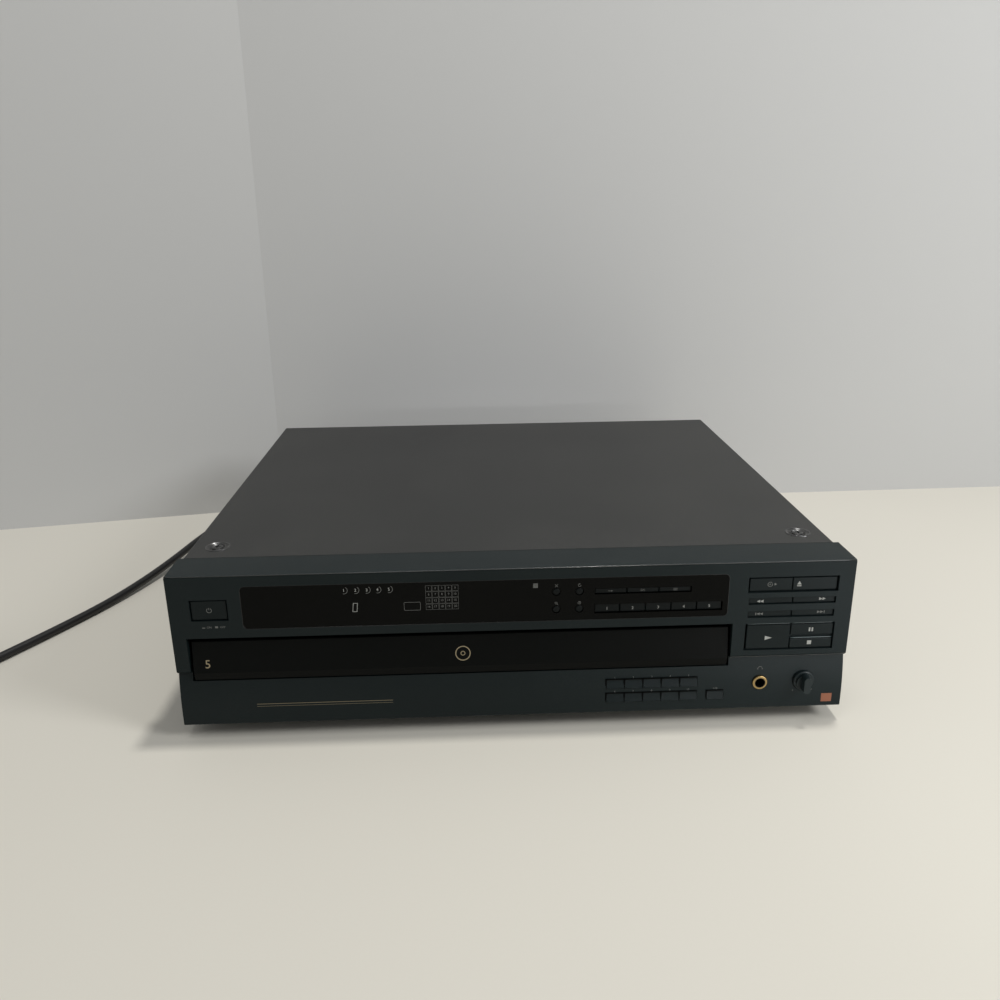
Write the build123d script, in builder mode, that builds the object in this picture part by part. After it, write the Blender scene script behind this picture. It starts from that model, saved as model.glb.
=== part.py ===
from build123d import *
import math
import os

os.makedirs("parts", exist_ok=True)

# A five-disc carousel CD changer of full hi-fi width, in millimetres.
# X runs to the right as one faces it, Y to the back, Z up. The feet stand on z = 0.

# ---------------------------------------------------------------- cabinet sizes
panel_width = 430.0
panel_height = 104.5
cabinet_depth = 375.5
foot_height = 10.5
cover_inset = 2.6
lip_depth = 30.1
seam_gap = 0.4
sheet = 1.2
seat_gap = 0.2

front_wall = 4.0
top_wall = 2.5
side_wall = 2.4
floor_wall = 3.0
top_chamfer = 0.9
step_height = 37.5
step_chamfer = 1.8
cove_depth = 3.7
cove_foot = 5.0
cove_wall = 3.0

# ---------------------------------------------------------------- tray, carousel and their drive
tray_x = -33.45
opening_width = 345.5
opening_low = 31.0
opening_high = 62.3
tray_front_width = 341.9
tray_front_low = 32.2
tray_front_high = 58.7
tray_front_lean = 3.2
tray_front_lip = 0.4
tray_front_tuck = 1.5
tray_start = 8.0
tray_end = 351.0
tray_half_width = 169.5
tray_wall = 2.5
tray_floor = 36.0
tray_floor_thickness = 2.2
deck_top = 50.5
tongue_reach = 2.5
tongue_start = 12.0

disc_count = 5
disc_ring_radius = 105.5
disc_recess_radius = 61.0
single_recess_radius = 41.0
single_recess_depth = 1.0
carousel_y = 180.0
carousel_radius = 160.0
carousel_low = 43.0
carousel_plate = 2.2
carousel_slot = 44.0
spindle_radius = 10.0
running_gap = 0.05
slide_gap = 0.3

gear_module = 2.0
hub_teeth = 40
pinion_teeth = 14
gear_backlash = 0.15
pressure_angle = math.radians(20)
gear_gap = 0.7
pinion_angle = math.radians(225)
pinion_pin_radius = 2.0
rack_x = tray_x - 146.0
rack_bar = 5.0
rack_low = 31.6
rack_start = 14.0
rack_teeth = 40
loading_pinion_y = 30.0

# ---------------------------------------------------------------- pickup mechanism
play_x = tray_x + disc_ring_radius
lift_hinge_x = -50.0
lift_hinge_height = 31.0
lift_rest_angle = 7.0
lift_half_width = 38.0
lift_plate = 3.0
hinge_pin_radius = 2.5
hinge_pin_length = 6.0
turntable_top = 19.3
turntable_radius = 15.0
motor_radius = 9.5
motor_top = 11.0
lens_inner_radius = 24.0
lens_travel = 32.0
sled_ahead = 5.0
sled_length = 13.0
sled_clearance = 0.5
lift_end_bar = 4.0
lens_radius = 3.5
lens_top = 17.8
rod_radius = 1.25
rod_spread = 22.0
bridge_half_depth = 30.0
bridge_height = 60.0
clamper_low = 51.7
clamper_radius = 15.0
clamper_neck_radius = 8.0

# ---------------------------------------------------------------- keys
key_gap = 0.3
key_lip = 1.2
key_lip_thickness = 1.2
stem_radius = 1.5
key_travel = 0.6
power_travel = 3.0
board_depth = 14.0
board_thickness = 1.6
switch_reach = 0.6

# ---------------------------------------------------------------- knob, jack, sockets and cord
knob_x = 189.0
knob_height = 19.8
knob_reach = 8.0
knob_skirt_radius = 6.8
jack_x = 160.2
jack_height = 19.1
jack_bore_radius = 3.2
socket_reach = 9.0
bush_reach = 10.0
cord_diameter = 6.8
cord_exit_x = -180.0
cord_exit_height = 27.0

front_y = -(cabinet_depth - seam_gap + bush_reach - knob_reach) / 2
rear_face = cabinet_depth - seam_gap
rear_inner = rear_face - sheet
cover_half_width = panel_width / 2 - cover_inset

front = Plane(origin=(0, front_y, foot_height), x_dir=(1, 0, 0), z_dir=(0, -1, 0))
side = Plane(origin=(0, front_y, foot_height), x_dir=(0, 1, 0), z_dir=(1, 0, 0))
level = Plane(origin=(0, front_y, foot_height), x_dir=(1, 0, 0), z_dir=(0, 0, 1))


def save(piece, name):
    """Labels a finished piece and writes it under its own name."""
    piece.part.label = name
    export_step(piece.part, f"parts/{name}.step")


def block(x0, x1, y0, y1, z0, z1, mode=Mode.ADD):
    """A box between two corners, in the cabinet's own frame."""
    with BuildSketch(level.offset(z0)) as outline:
        with Locations(((x0 + x1) / 2, (y0 + y1) / 2)):
            Rectangle(x1 - x0, y1 - y0)
    extrude(outline.sketch, amount=z1 - z0, mode=mode)


def post(x, y, radius, z0, z1, mode=Mode.ADD):
    """An upright round post or hole."""
    with BuildSketch(level.offset(z0)) as outline:
        with Locations((x, y)):
            Circle(radius)
    extrude(outline.sketch, amount=z1 - z0, mode=mode)


def stub(x, z, radius, depth0, depth1, mode=Mode.ADD):
    """A round boss or hole along the depth, from depth0 back to depth1."""
    with BuildSketch(front.offset(-depth0)) as outline:
        with Locations((x, z)):
            Circle(radius)
    extrude(outline.sketch, amount=depth0 - depth1, mode=mode)


def pocket(x0, x1, z0, z1, depth0, depth1, mode=Mode.ADD):
    """A rectangular block or pocket along the depth, from depth0 back to depth1."""
    with BuildSketch(front.offset(-depth0)) as outline:
        with Locations(((x0 + x1) / 2, (z0 + z1) / 2)):
            Rectangle(x1 - x0, z1 - z0)
    extrude(outline.sketch, amount=depth0 - depth1, mode=mode)


def cove_at(z):
    """Depth of the lower panel's hollow face at height z."""
    if z <= cove_foot:
        return 0.0
    return cove_radius - math.sqrt(cove_radius**2 - (z - cove_foot) ** 2)


cove_rise = step_height - cove_foot
cove_radius = (cove_rise**2 + cove_depth**2) / (2 * cove_depth)
cove_back = cove_depth + cove_wall

# ---------------------------------------------------------------- where the keys are: name, x, height, width, height
window_left = -170.0
window_right = 135.2
window_low = 68.0
window_high = 97.0
window_corner = 3.0
window_thickness = 2.5
window_recess = 0.3
display_left = -164.0
display_right = 4.0
display_low = 72.0
display_high = 94.0

round_key_radius = 2.3
round_key_hole = 2.65
round_keys = {
    "edit_key": (26.1, 87.8),
    "repeat_key": (40.6, 87.7),
    "search_key": (26.1, 75.8),
    "time_key": (40.6, 75.8),
}

mode_strip = (50.2, 111.4, 85.3, 89.3)
mode_dividers = (70.6, 90.9)
mode_names = ("continue_key", "shuffle_key", "program_key")
disc_strip = (50.2, 131.7, 72.2, 78.5)
skip_strip = (147.4, 205.1, 83.4, 94.1)
skip_divider = 175.8
search_strip = (148.4, 204.3, 75.2, 79.9)
track_strip = (148.4, 204.1, 66.0, 70.8)
row_divider = 176.9
play_block = (147.4, 205.4, 42.9, 61.9)
play_divider = 177.3
pause_low = 53.0
stop_high = 49.9
key_divider = 0.5

power_recess = (-201.7, -178.4, 74.2, 88.5)
power_margin = 0.7
number_left = 59.5
number_pitch = 12.07
number_divider = 0.8
number_height = 4.9
number_rows = (17.6, 7.9)
over_ten_left = 125.6
over_ten_width = 10.8


def split_row(strip, dividers, margin):
    """Key outlines between a strip's ends, parted at its dividers."""
    x0, x1, z0, z1 = strip
    edges = [x0 + margin, *dividers, x1 - margin]
    outlines = []
    for index in range(len(edges) - 1):
        left = edges[index] + (key_divider / 2 if index > 0 else 0)
        right = edges[index + 1] - (key_divider / 2 if index < len(edges) - 2 else 0)
        outlines.append((left, right, z0 + margin, z1 - margin))
    return outlines


disc_pitch = (disc_strip[1] - disc_strip[0]) / disc_count
disc_dividers = [disc_strip[0] + disc_pitch * index for index in range(1, disc_count)]

# Each flat key: its outline, how far its face lies behind the panel's face, and its travel.
flat_keys = {}
for name, outline in zip(mode_names, split_row(mode_strip, mode_dividers, key_gap)):
    flat_keys[name] = (outline, 1.3, key_travel)
for number, outline in enumerate(split_row(disc_strip, disc_dividers, key_gap), start=1):
    flat_keys[f"disc_{number}_key"] = (outline, 1.5, key_travel)
for name, outline in zip(("disc_skip_key", "open_close_key"), split_row(skip_strip, (skip_divider,), 1.0)):
    flat_keys[name] = (outline, 0.9, key_travel)
for name, outline in zip(("search_back_key", "search_forward_key"), split_row(search_strip, (row_divider,), key_gap)):
    flat_keys[name] = (outline, 1.2, key_travel)
for name, outline in zip(("previous_key", "next_key"), split_row(track_strip, (row_divider,), key_gap)):
    flat_keys[name] = (outline, 1.2, key_travel)
play_column, pause_column = split_row(play_block, (play_divider,), 0.6)
flat_keys["play_key"] = ((play_block[0] + 1.5, play_column[1], play_column[2], 60.4), 0.8, key_travel)
flat_keys["pause_key"] = ((pause_column[0], pause_column[1], pause_low, 60.4), 0.8, key_travel)
flat_keys["stop_key"] = ((pause_column[0], pause_column[1], pause_column[2], stop_high), 0.8, key_travel)
power_outline = (
    power_recess[0] + power_margin,
    power_recess[1] - power_margin,
    power_recess[2] + power_margin,
    power_recess[3] - power_margin,
)
flat_keys["power_button"] = (power_outline, 0.8, power_travel)

number_keys = {}
for row, low in enumerate(number_rows):
    for column in range(5):
        left = number_left + number_pitch * column
        outline = (left, left + number_pitch - number_divider, low, low + number_height)
        number_keys[f"number_{5 * row + column + 1}_key"] = outline
number_keys["over_ten_key"] = (
    over_ten_left,
    over_ten_left + over_ten_width,
    number_rows[1],
    number_rows[1] + number_height,
)

pocket_depth = 2.6
block_recesses = (skip_strip, play_block, power_recess)
window_cuts = (mode_strip, disc_strip)


def key_holes(outlines, depth0, depth1):
    """Cuts the openings that the keys slide in, a clearance larger all round."""
    with BuildSketch(front.offset(-depth0)) as holes:
        for x0, x1, z0, z1 in outlines:
            with Locations(((x0 + x1) / 2, (z0 + z1) / 2)):
                Rectangle(x1 - x0 + 2 * key_gap, z1 - z0 + 2 * key_gap)
    extrude(holes.sketch, amount=depth0 - depth1, mode=Mode.SUBTRACT)


# ---------------------------------------------------------------- front panel: plain upper half, hollow lower half
board_bosses = ((-169.0, 83.0), (14.0, 69.5), (140.5, 84.0), (208.6, 72.0))
number_board_bosses = ((54.0, 15.0), (140.4, 15.0))
jack_board_depth = 24.0
jack_board_bosses = ((174.0, 31.0), (174.0, 9.0))
boss_radius = 2.5
jack_ring_radius = 4.9
jack_spotface = 5.2
spotface_depth = 1.4
knob_spotface = 7.3
knob_shaft_radius = 3.0

with BuildPart() as front_panel:
    with BuildSketch(side):
        with BuildLine():
            TangentArc((0, cove_foot), (cove_depth, step_height), tangent=(0, 1))
            Polyline(
                (cove_depth, step_height),
                (step_chamfer, step_height),
                (0, step_height + step_chamfer),
                (0, panel_height - top_chamfer),
                (top_chamfer, panel_height),
                (lip_depth, panel_height),
                (lip_depth, 0),
                (top_chamfer, 0),
                (0, top_chamfer),
                (0, cove_foot),
            )
        make_face()
    extrude(amount=panel_width / 2, both=True)
    with BuildSketch(side):
        with BuildLine():
            Polyline(
                (lip_depth, floor_wall),
                (lip_depth, panel_height - top_wall),
                (front_wall, panel_height - top_wall),
                (front_wall, step_height + cove_wall),
                (cove_back, step_height + cove_wall),
                (cove_back, floor_wall),
                close=True,
            )
        make_face()
    extrude(amount=panel_width / 2 - side_wall, both=True, mode=Mode.SUBTRACT)
    for x, z in board_bosses:
        stub(x, z, boss_radius, front_wall, board_depth)
    for x, z in number_board_bosses:
        stub(x, z, boss_radius, cove_back, board_depth)
    for x, z in jack_board_bosses:
        stub(x, z, boss_radius, cove_back, jack_board_depth)
    half_opening = opening_width / 2
    pocket(tray_x - half_opening, tray_x + half_opening, opening_low, opening_high, 0, lip_depth, Mode.SUBTRACT)
    with BuildSketch(front):
        with Locations(((window_left + window_right) / 2, (window_low + window_high) / 2)):
            RectangleRounded(window_right - window_left, window_high - window_low, window_corner)
    extrude(amount=-(window_recess + window_thickness), mode=Mode.SUBTRACT)
    pocket(display_left, display_right, display_low, display_high, 0, front_wall, Mode.SUBTRACT)
    for x0, x1, z0, z1 in block_recesses:
        pocket(x0, x1, z0, z1, 0, pocket_depth, Mode.SUBTRACT)
    key_holes([outline for outline, recess, travel in flat_keys.values()], 0, front_wall)
    with BuildSketch(front):
        with Locations(*round_keys.values()):
            Circle(round_key_hole)
    extrude(amount=-front_wall, mode=Mode.SUBTRACT)
    key_holes(number_keys.values(), 0, cove_back)
    stub(jack_x, jack_height, jack_spotface, 0, spotface_depth, Mode.SUBTRACT)
    stub(jack_x, jack_height, jack_bore_radius + 1.1, 0, cove_back, Mode.SUBTRACT)
    stub(knob_x, knob_height, knob_spotface, 0, spotface_depth, Mode.SUBTRACT)
    stub(knob_x, knob_height, knob_shaft_radius + slide_gap, 0, cove_back, Mode.SUBTRACT)
save(front_panel, "front_panel")

with BuildPart() as display_window:
    with BuildSketch(front.offset(-window_recess)):
        with Locations(((window_left + window_right) / 2, (window_low + window_high) / 2)):
            RectangleRounded(
                window_right - window_left - 2 * seat_gap,
                window_high - window_low - 2 * seat_gap,
                window_corner - seat_gap,
            )
        for x0, x1, z0, z1 in window_cuts:
            with Locations(((x0 + x1) / 2, (z0 + z1) / 2)):
                Rectangle(x1 - x0, z1 - z0, mode=Mode.SUBTRACT)
        with Locations(*round_keys.values()):
            Circle(round_key_hole, mode=Mode.SUBTRACT)
    extrude(amount=-window_thickness)
save(display_window, "display_window")

# ---------------------------------------------------------------- keys
key_edge = 0.35


def key_shank(x, z, back, reach):
    """The round stem that presses the switch behind a key."""
    stub(x, z, stem_radius, back, reach)


for name, (outline, recess, travel) in flat_keys.items():
    x0, x1, z0, z1 = outline
    centre = ((x0 + x1) / 2, (z0 + z1) / 2)
    with BuildPart() as key:
        with BuildSketch(front.offset(-recess)):
            with Locations(centre):
                Rectangle(x1 - x0, z1 - z0)
        extrude(amount=recess - front_wall - slide_gap)
        chamfer(key.faces().sort_by(Axis.Y)[0].edges(), key_edge)
        lip_start = front_wall + slide_gap
        pocket(x0, x1, z0 - key_lip, z1 + key_lip, lip_start, lip_start + key_lip_thickness)
        reach = board_depth - switch_reach - travel - slide_gap
        key_shank(*centre, lip_start + key_lip_thickness, reach)
    save(key, name)

for name, (x, z) in round_keys.items():
    with BuildPart() as key:
        stub(x, z, round_key_radius, 0.4, front_wall + slide_gap)
        fillet(key.faces().sort_by(Axis.Y)[0].edges(), 0.6)
        lip_start = front_wall + slide_gap
        stub(x, z, round_key_radius + key_lip, lip_start, lip_start + key_lip_thickness)
        reach = board_depth - switch_reach - key_travel - slide_gap
        key_shank(x, z, lip_start + key_lip_thickness, reach)
    save(key, name)

number_proud = 0.8
number_sunk = 0.4
for name, (x0, x1, z0, z1) in number_keys.items():
    centre_x = (x0 + x1) / 2
    centre_z = (z0 + z1) / 2
    lip_start = cove_back + slide_gap
    with BuildPart() as key:
        with BuildSketch(side.offset(centre_x)):
            with BuildLine():
                Polyline(
                    (cove_at(z0) - number_proud + key_edge, z0),
                    (cove_at(z0) - number_proud, z0 + key_edge),
                    (cove_at(z1) + number_sunk, z1),
                    (lip_start, z1),
                    (lip_start, z0),
                    close=True,
                )
            make_face()
        extrude(amount=(x1 - x0) / 2, both=True)
        pocket(x0, x1, z0 - key_lip, z1 + key_lip, lip_start, lip_start + key_lip_thickness)
        reach = board_depth - switch_reach - key_travel - slide_gap
        key_shank(centre_x, centre_z, lip_start + key_lip_thickness, reach)
    save(key, name)

# ---------------------------------------------------------------- boards behind the panel and beside the tray
board_low = 66.0
board_high = 99.0
board_left = -203.0
board_right = 211.0
column_left = 144.0
column_board_low = 40.0
number_board = (50.0, 142.0, 7.4, 27.0)
jack_board = (148.0, 206.0, 6.0, 36.0)
pot_radius = 8.0
pot_bore_depth = 16.0
main_board_low = 10.0
main_board_y = (44.0, 240.0)
standoff_radius = 3.0
component_list = (
    (160.0, 70.0, 6.3, 25.0),
    (176.0, 70.0, 6.3, 25.0),
    (192.0, 76.0, 5.0, 16.0),
    (164.0, 215.0, 8.0, 30.0),
    (186.0, 215.0, 8.0, 30.0),
)
chip_list = ((168.0, 110.0, 18.0, 18.0), (190.0, 140.0, 14.0, 36.0), (162.0, 165.0, 10.0, 24.0))

with BuildPart() as circuit_boards:
    pocket(board_left, board_right, board_low, board_high, board_depth, board_depth + board_thickness)
    pocket(column_left, board_right, column_board_low, board_low, board_depth, board_depth + board_thickness)
    pocket(-120.0, 0.0, display_low, display_high, board_depth - 6.0, board_depth)
    for outline, recess, travel in flat_keys.values():
        x0, x1, z0, z1 = outline
        x = (x0 + x1) / 2
        z = (z0 + z1) / 2
        pocket(x - 2.2, x + 2.2, z - 1.8, z + 1.8, board_depth - switch_reach, board_depth)
    for x, z in round_keys.values():
        pocket(x - 2.2, x + 2.2, z - 1.8, z + 1.8, board_depth - switch_reach, board_depth)
    pocket(*number_board, board_depth, board_depth + board_thickness)
    for x0, x1, z0, z1 in number_keys.values():
        x = (x0 + x1) / 2
        z = (z0 + z1) / 2
        pocket(x - 2.2, x + 2.2, z - 1.8, z + 1.8, board_depth - switch_reach, board_depth)
    pocket(*jack_board, jack_board_depth, jack_board_depth + board_thickness)
    stub(knob_x, knob_height, pot_radius, cove_back, jack_board_depth)
    stub(knob_x, knob_height, knob_shaft_radius + running_gap, cove_back, pot_bore_depth + slide_gap, Mode.SUBTRACT)
    block(column_left + 3, 208.0, *main_board_y, main_board_low, main_board_low + board_thickness)
    for x in (column_left + 7, 204.0):
        for y in (main_board_y[0] + 5, main_board_y[1] - 5):
            post(x, y, standoff_radius, floor_wall + seat_gap + sheet, main_board_low)
    for x, y, radius, height in component_list:
        post(x, y, radius, main_board_low + board_thickness, main_board_low + board_thickness + height)
    for x, y, width, length in chip_list:
        top = main_board_low + board_thickness
        block(x - width / 2, x + width / 2, y - length / 2, y + length / 2, top, top + 3.4)
save(circuit_boards, "circuit_boards")

with BuildPart() as phones_jack:
    stub(jack_x, jack_height, jack_ring_radius, -0.6, spotface_depth)
    fillet(phones_jack.faces().sort_by(Axis.Y)[0].edges(), 0.6)
    stub(jack_x, jack_height, jack_bore_radius + 0.9, spotface_depth, cove_back)
    pocket(jack_x - 6, jack_x + 6, jack_height - 6, jack_height + 6, cove_back, jack_board_depth)
    stub(jack_x, jack_height, jack_bore_radius, -1, jack_board_depth - 2, Mode.SUBTRACT)
save(phones_jack, "phones_jack")

with BuildPart() as level_knob:
    skirt_back = spotface_depth - 0.5
    stub(knob_x, knob_height, knob_skirt_radius, -1.4, skirt_back)
    chamfer(level_knob.faces().sort_by(Axis.Y)[0].edges(), 0.5)
    stub(knob_x, knob_height, knob_skirt_radius - 1.6, -3.0, -1.4)
    with BuildSketch(front.offset(1.4)):
        with Locations((knob_x, knob_height)):
            SlotOverall(2 * knob_skirt_radius - 1.4, 5.4, rotation=90)
    extrude(amount=knob_reach - 1.4, taper=4)
    stub(knob_x, knob_height, knob_shaft_radius, skirt_back, pot_bore_depth)
save(level_knob, "level_knob")

# ---------------------------------------------------------------- top cover, chassis pan, rear panel
cover_start = lip_depth + seam_gap
cover_low = 1.5
tongue_length = 8.0
tongue_drop = top_wall + slide_gap
tongue_margin = 12.0
rosette_x = 194.8
rosette_y = 49.4
rosette_radius = 8.2
dish_depth = 1.6
screw_radius = 3.6
side_screw_depths = (70.0, 330.0)
side_screw_height = 14.0

with BuildPart() as top_cover:
    with BuildSketch(front.offset(-cover_start)):
        with Locations((0, (panel_height + cover_low) / 2)):
            Rectangle(2 * cover_half_width, panel_height - cover_low)
    extrude(amount=cover_start - cabinet_depth)
    fillet(top_cover.edges().filter_by(Axis.Y).group_by(Axis.Z)[-1], 1.6)
    with BuildSketch(front.offset(-cover_start)):
        with Locations((0, (panel_height - sheet + cover_low - 1) / 2)):
            Rectangle(2 * (cover_half_width - sheet), panel_height - sheet - cover_low + 1)
    extrude(amount=cover_start - cabinet_depth, mode=Mode.SUBTRACT)
    with BuildSketch(side):
        with BuildLine():
            Polyline(
                (cover_start + tongue_drop, panel_height - sheet),
                (cover_start, panel_height - sheet),
                (cover_start, panel_height - tongue_drop),
                (cover_start - tongue_length, panel_height - tongue_drop),
                (cover_start - tongue_length, panel_height - tongue_drop - sheet),
                (cover_start, panel_height - tongue_drop - sheet),
                close=True,
            )
        make_face()
    extrude(amount=cover_half_width - sheet - tongue_margin, both=True)
    with Locations((-rosette_x, front_y + rosette_y, foot_height + panel_height),
                   (rosette_x, front_y + rosette_y, foot_height + panel_height)):
        Cylinder(rosette_radius + 1.0, dish_depth + sheet, align=(Align.CENTER, Align.CENTER, Align.MAX))
        Cylinder(rosette_radius, dish_depth, align=(Align.CENTER, Align.CENTER, Align.MAX), mode=Mode.SUBTRACT)
        Cylinder(2.2, 2 * (dish_depth + sheet), mode=Mode.SUBTRACT)
    with BuildSketch(side):
        with Locations(*[(depth, side_screw_height) for depth in side_screw_depths]):
            Circle(2.2)
    extrude(amount=cover_half_width, both=True, mode=Mode.SUBTRACT)
save(top_cover, "top_cover")

pan_low = floor_wall + seat_gap
pan_top = pan_low + sheet
pan_half_width = cover_half_width - sheet - slide_gap
pan_front = cove_back + 1.6
flange_height = 24.0
foot_spread_x = 165.0
foot_depths = (60.0, 332.0)
foot_screw_radius = 2.2
floor_slot_count = 9

with BuildPart() as chassis:
    block(-pan_half_width + sheet, pan_half_width - sheet, pan_front, rear_inner, pan_low, pan_top)
    for edge in (-1, 1):
        x0, x1 = sorted((edge * pan_half_width, edge * (pan_half_width - sheet)))
        block(x0, x1, lip_depth, rear_inner, pan_low, flange_height)
    with BuildSketch(level.offset(pan_low)):
        with Locations((178.0, 100.0)):
            with GridLocations(0, 9, 1, floor_slot_count):
                SlotOverall(30, 3)
        with Locations((-120.0, 300.0)):
            with GridLocations(0, 9, 1, 5):
                SlotOverall(60, 3)
    extrude(amount=sheet, mode=Mode.SUBTRACT)
    with BuildSketch(level.offset(pan_low)):
        for depth in foot_depths:
            with Locations((-foot_spread_x, depth), (foot_spread_x, depth)):
                Circle(foot_screw_radius)
    extrude(amount=sheet, mode=Mode.SUBTRACT)
    with BuildSketch(side):
        with Locations(*[(depth, side_screw_height) for depth in side_screw_depths]):
            Circle(2.2)
    extrude(amount=pan_half_width, both=True, mode=Mode.SUBTRACT)
save(chassis, "chassis")

socket_x = 172.0
socket_height = 76.0
socket_pitch = 14.0
socket_radius = 4.15
socket_hole_radius = 1.65
socket_hole_behind = 5.0
socket_lead_in = 0.3
socket_body_depth = 14.0
socket_spacing = 0.2
optical_x = 198.0
rear_high = panel_height - sheet - slide_gap
rear_screw_places = ((-204.0, 10.0), (0.0, 10.0), (204.0, 10.0), (-204.0, 94.0), (204.0, 94.0))
bush_radius = 6.6

with BuildPart() as rear_panel:
    pocket(-pan_half_width, pan_half_width, pan_low, rear_high, rear_inner, rear_face)
    with BuildSketch(front.offset(-rear_inner)):
        with Locations((socket_x, socket_height)):
            with GridLocations(socket_pitch, socket_pitch, 2, 2):
                Circle(socket_radius + slide_gap)
        with Locations((optical_x, socket_height)):
            Rectangle(10.0, 10.0)
        with Locations((cord_exit_x, cord_exit_height)):
            Circle(bush_radius + 0.1)
        with Locations(*rear_screw_places):
            Circle(1.8)
        with Locations((40.0, 60.0)):
            with GridLocations(0, 7, 1, 5):
                SlotOverall(80, 2.6)
    extrude(amount=-sheet, mode=Mode.SUBTRACT)
save(rear_panel, "rear_panel")

with BuildPart() as rear_sockets:
    with BuildSketch(front.offset(-(rear_inner - socket_body_depth))):
        with Locations((socket_x, socket_height)):
            with GridLocations(socket_pitch, socket_pitch, 2, 2):
                Rectangle(socket_pitch - socket_spacing, socket_pitch - socket_spacing)
    extrude(amount=-socket_body_depth)
    with BuildSketch(front.offset(-rear_inner)):
        with Locations((socket_x, socket_height)):
            with GridLocations(socket_pitch, socket_pitch, 2, 2):
                Circle(socket_radius)
    extrude(amount=-(sheet + socket_reach))
    with BuildSketch(front.offset(-(rear_inner - socket_hole_behind))):
        with Locations((socket_x, socket_height)):
            with GridLocations(socket_pitch, socket_pitch, 2, 2):
                Circle(socket_hole_radius)
    extrude(amount=-(socket_hole_behind + sheet + socket_reach), mode=Mode.SUBTRACT)
    with BuildSketch(front.offset(-(rear_inner + sheet + socket_reach))):
        with Locations((socket_x, socket_height)):
            with GridLocations(socket_pitch, socket_pitch, 2, 2):
                Circle(socket_hole_radius + socket_lead_in)
    extrude(amount=socket_lead_in, taper=45, mode=Mode.SUBTRACT)
    pocket(optical_x - 7, optical_x + 7, socket_height - 7, socket_height + 7, rear_inner - socket_body_depth, rear_inner)
    pocket(optical_x - 4.8, optical_x + 4.8, socket_height - 4.8, socket_height + 4.8, rear_inner, rear_face + 1.0)
save(rear_sockets, "rear_sockets")

with BuildPart() as cord_bush:
    stub(cord_exit_x, cord_exit_height, bush_radius + 1.6, rear_inner - 3.0, rear_inner)
    stub(cord_exit_x, cord_exit_height, bush_radius, rear_inner, rear_face)
    stub(cord_exit_x, cord_exit_height, bush_radius + 1.6, rear_face, rear_face + 2.0)
    with BuildSketch(front.offset(-(rear_face + 2.0))):
        with Locations((cord_exit_x, cord_exit_height)):
            Circle(bush_radius - 0.4)
    extrude(amount=-(bush_reach - 2.0), taper=10)
save(cord_bush, "cord_bush")

# ---------------------------------------------------------------- feet and screws
foot_radius = 24.0
foot_base_radius = 21.5
foot_ring = 6.0
pad_depth = 2.0
floor_level = -foot_height

with BuildPart() as feet:
    for depth in foot_depths:
        for x in (-foot_spread_x, foot_spread_x):
            with BuildSketch(side.offset(x)):
                with BuildLine():
                    Polyline(
                        (depth, pan_low),
                        (depth + foot_radius, pan_low),
                        (depth + foot_radius, pan_low - 4.0),
                        (depth + foot_base_radius, floor_level + 1.0),
                        (depth + foot_base_radius - 1.0, floor_level),
                        (depth + foot_base_radius - foot_ring, floor_level),
                        (depth + foot_base_radius - foot_ring, floor_level + pad_depth),
                        (depth, floor_level + pad_depth),
                        close=True,
                    )
                make_face()
            revolve(axis=Axis((x, front_y + depth, 0), (0, 0, 1)))
save(feet, "feet")

screw_head = 2.2


def cross_screw_up(x, y, z, radius, length):
    """A screw standing in a flat: head up, shank down."""
    post(x, y, radius, z, z + screw_head)
    post(x, y, 1.9, z - length, z)


with BuildPart() as case_screws:
    dish_floor = panel_height - dish_depth
    for x in (-rosette_x, rosette_x):
        post(x, rosette_y, rosette_radius - 0.3, dish_floor, dish_floor + 0.7)
        post(x, rosette_y, rosette_radius - 1.6, dish_floor + 0.3, dish_floor + 0.7, Mode.SUBTRACT)
        cross_screw_up(x, rosette_y, dish_floor + 0.3, screw_radius, 12.0)
    for depth in side_screw_depths:
        for edge in (-1, 1):
            with BuildSketch(side.offset(edge * cover_half_width)):
                with Locations((depth, side_screw_height)):
                    Circle(screw_radius)
            extrude(amount=edge * 2.0)
            with BuildSketch(side.offset(edge * cover_half_width)):
                with Locations((depth, side_screw_height)):
                    Circle(1.9)
            extrude(amount=-edge * (2 * sheet + slide_gap))
    for x, z in rear_screw_places:
        stub(x, z, 3.0, rear_face, rear_face + 2.0)
        stub(x, z, 1.5, rear_inner - 3.0, rear_face)
save(case_screws, "case_screws")

# ---------------------------------------------------------------- power transformer
core_x = (152.0, 204.0)
core_y = (268.0, 316.0)
core_height = 46.0
coil_bulge = 9.0

with BuildPart() as power_transformer:
    block(core_x[0] - 2, core_x[1] + 2, core_y[0] + 4, core_y[1] - 4, pan_top, pan_top + 2.0)
    block(*core_x, core_y[0] + 10, core_y[1] - 10, pan_top + 2.0, pan_top + core_height)
    block(core_x[0] + 9, core_x[1] - 9, *core_y, pan_top + 9.0, pan_top + core_height - 7.0)
    fillet(power_transformer.edges().filter_by(Axis.X).group_by(Axis.Y)[0], 4.0)
    fillet(power_transformer.edges().filter_by(Axis.X).group_by(Axis.Y)[-1], 4.0)
save(power_transformer, "power_transformer")

# ---------------------------------------------------------------- loading base that the tray runs in
base_left = tray_x - tray_half_width - 6.5
base_right = 2 * tray_x - base_left
base_start = 18.0
base_end = 356.0
base_low = pan_top
base_floor = 2.5
rail_low = 33.0
rail_high = 41.0
rail_inner = tray_half_width + slide_gap + 0.15
wall_thickness = 2.8
groove_reach = tray_half_width + tongue_reach + slide_gap
pit_left = lift_hinge_x + 5.0
pit_half_depth = lift_half_width + 4.0
hinge_post_radius = 3.6
pinion_pitch_radius = gear_module * pinion_teeth / 2
rack_pitch_x = rack_x + rack_bar + gear_module
loading_pinion_x = rack_pitch_x + pinion_pitch_radius
loading_pinion_height = 3.4
loading_pin_radius = 2.5
loading_post_radius = 5.0

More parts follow.
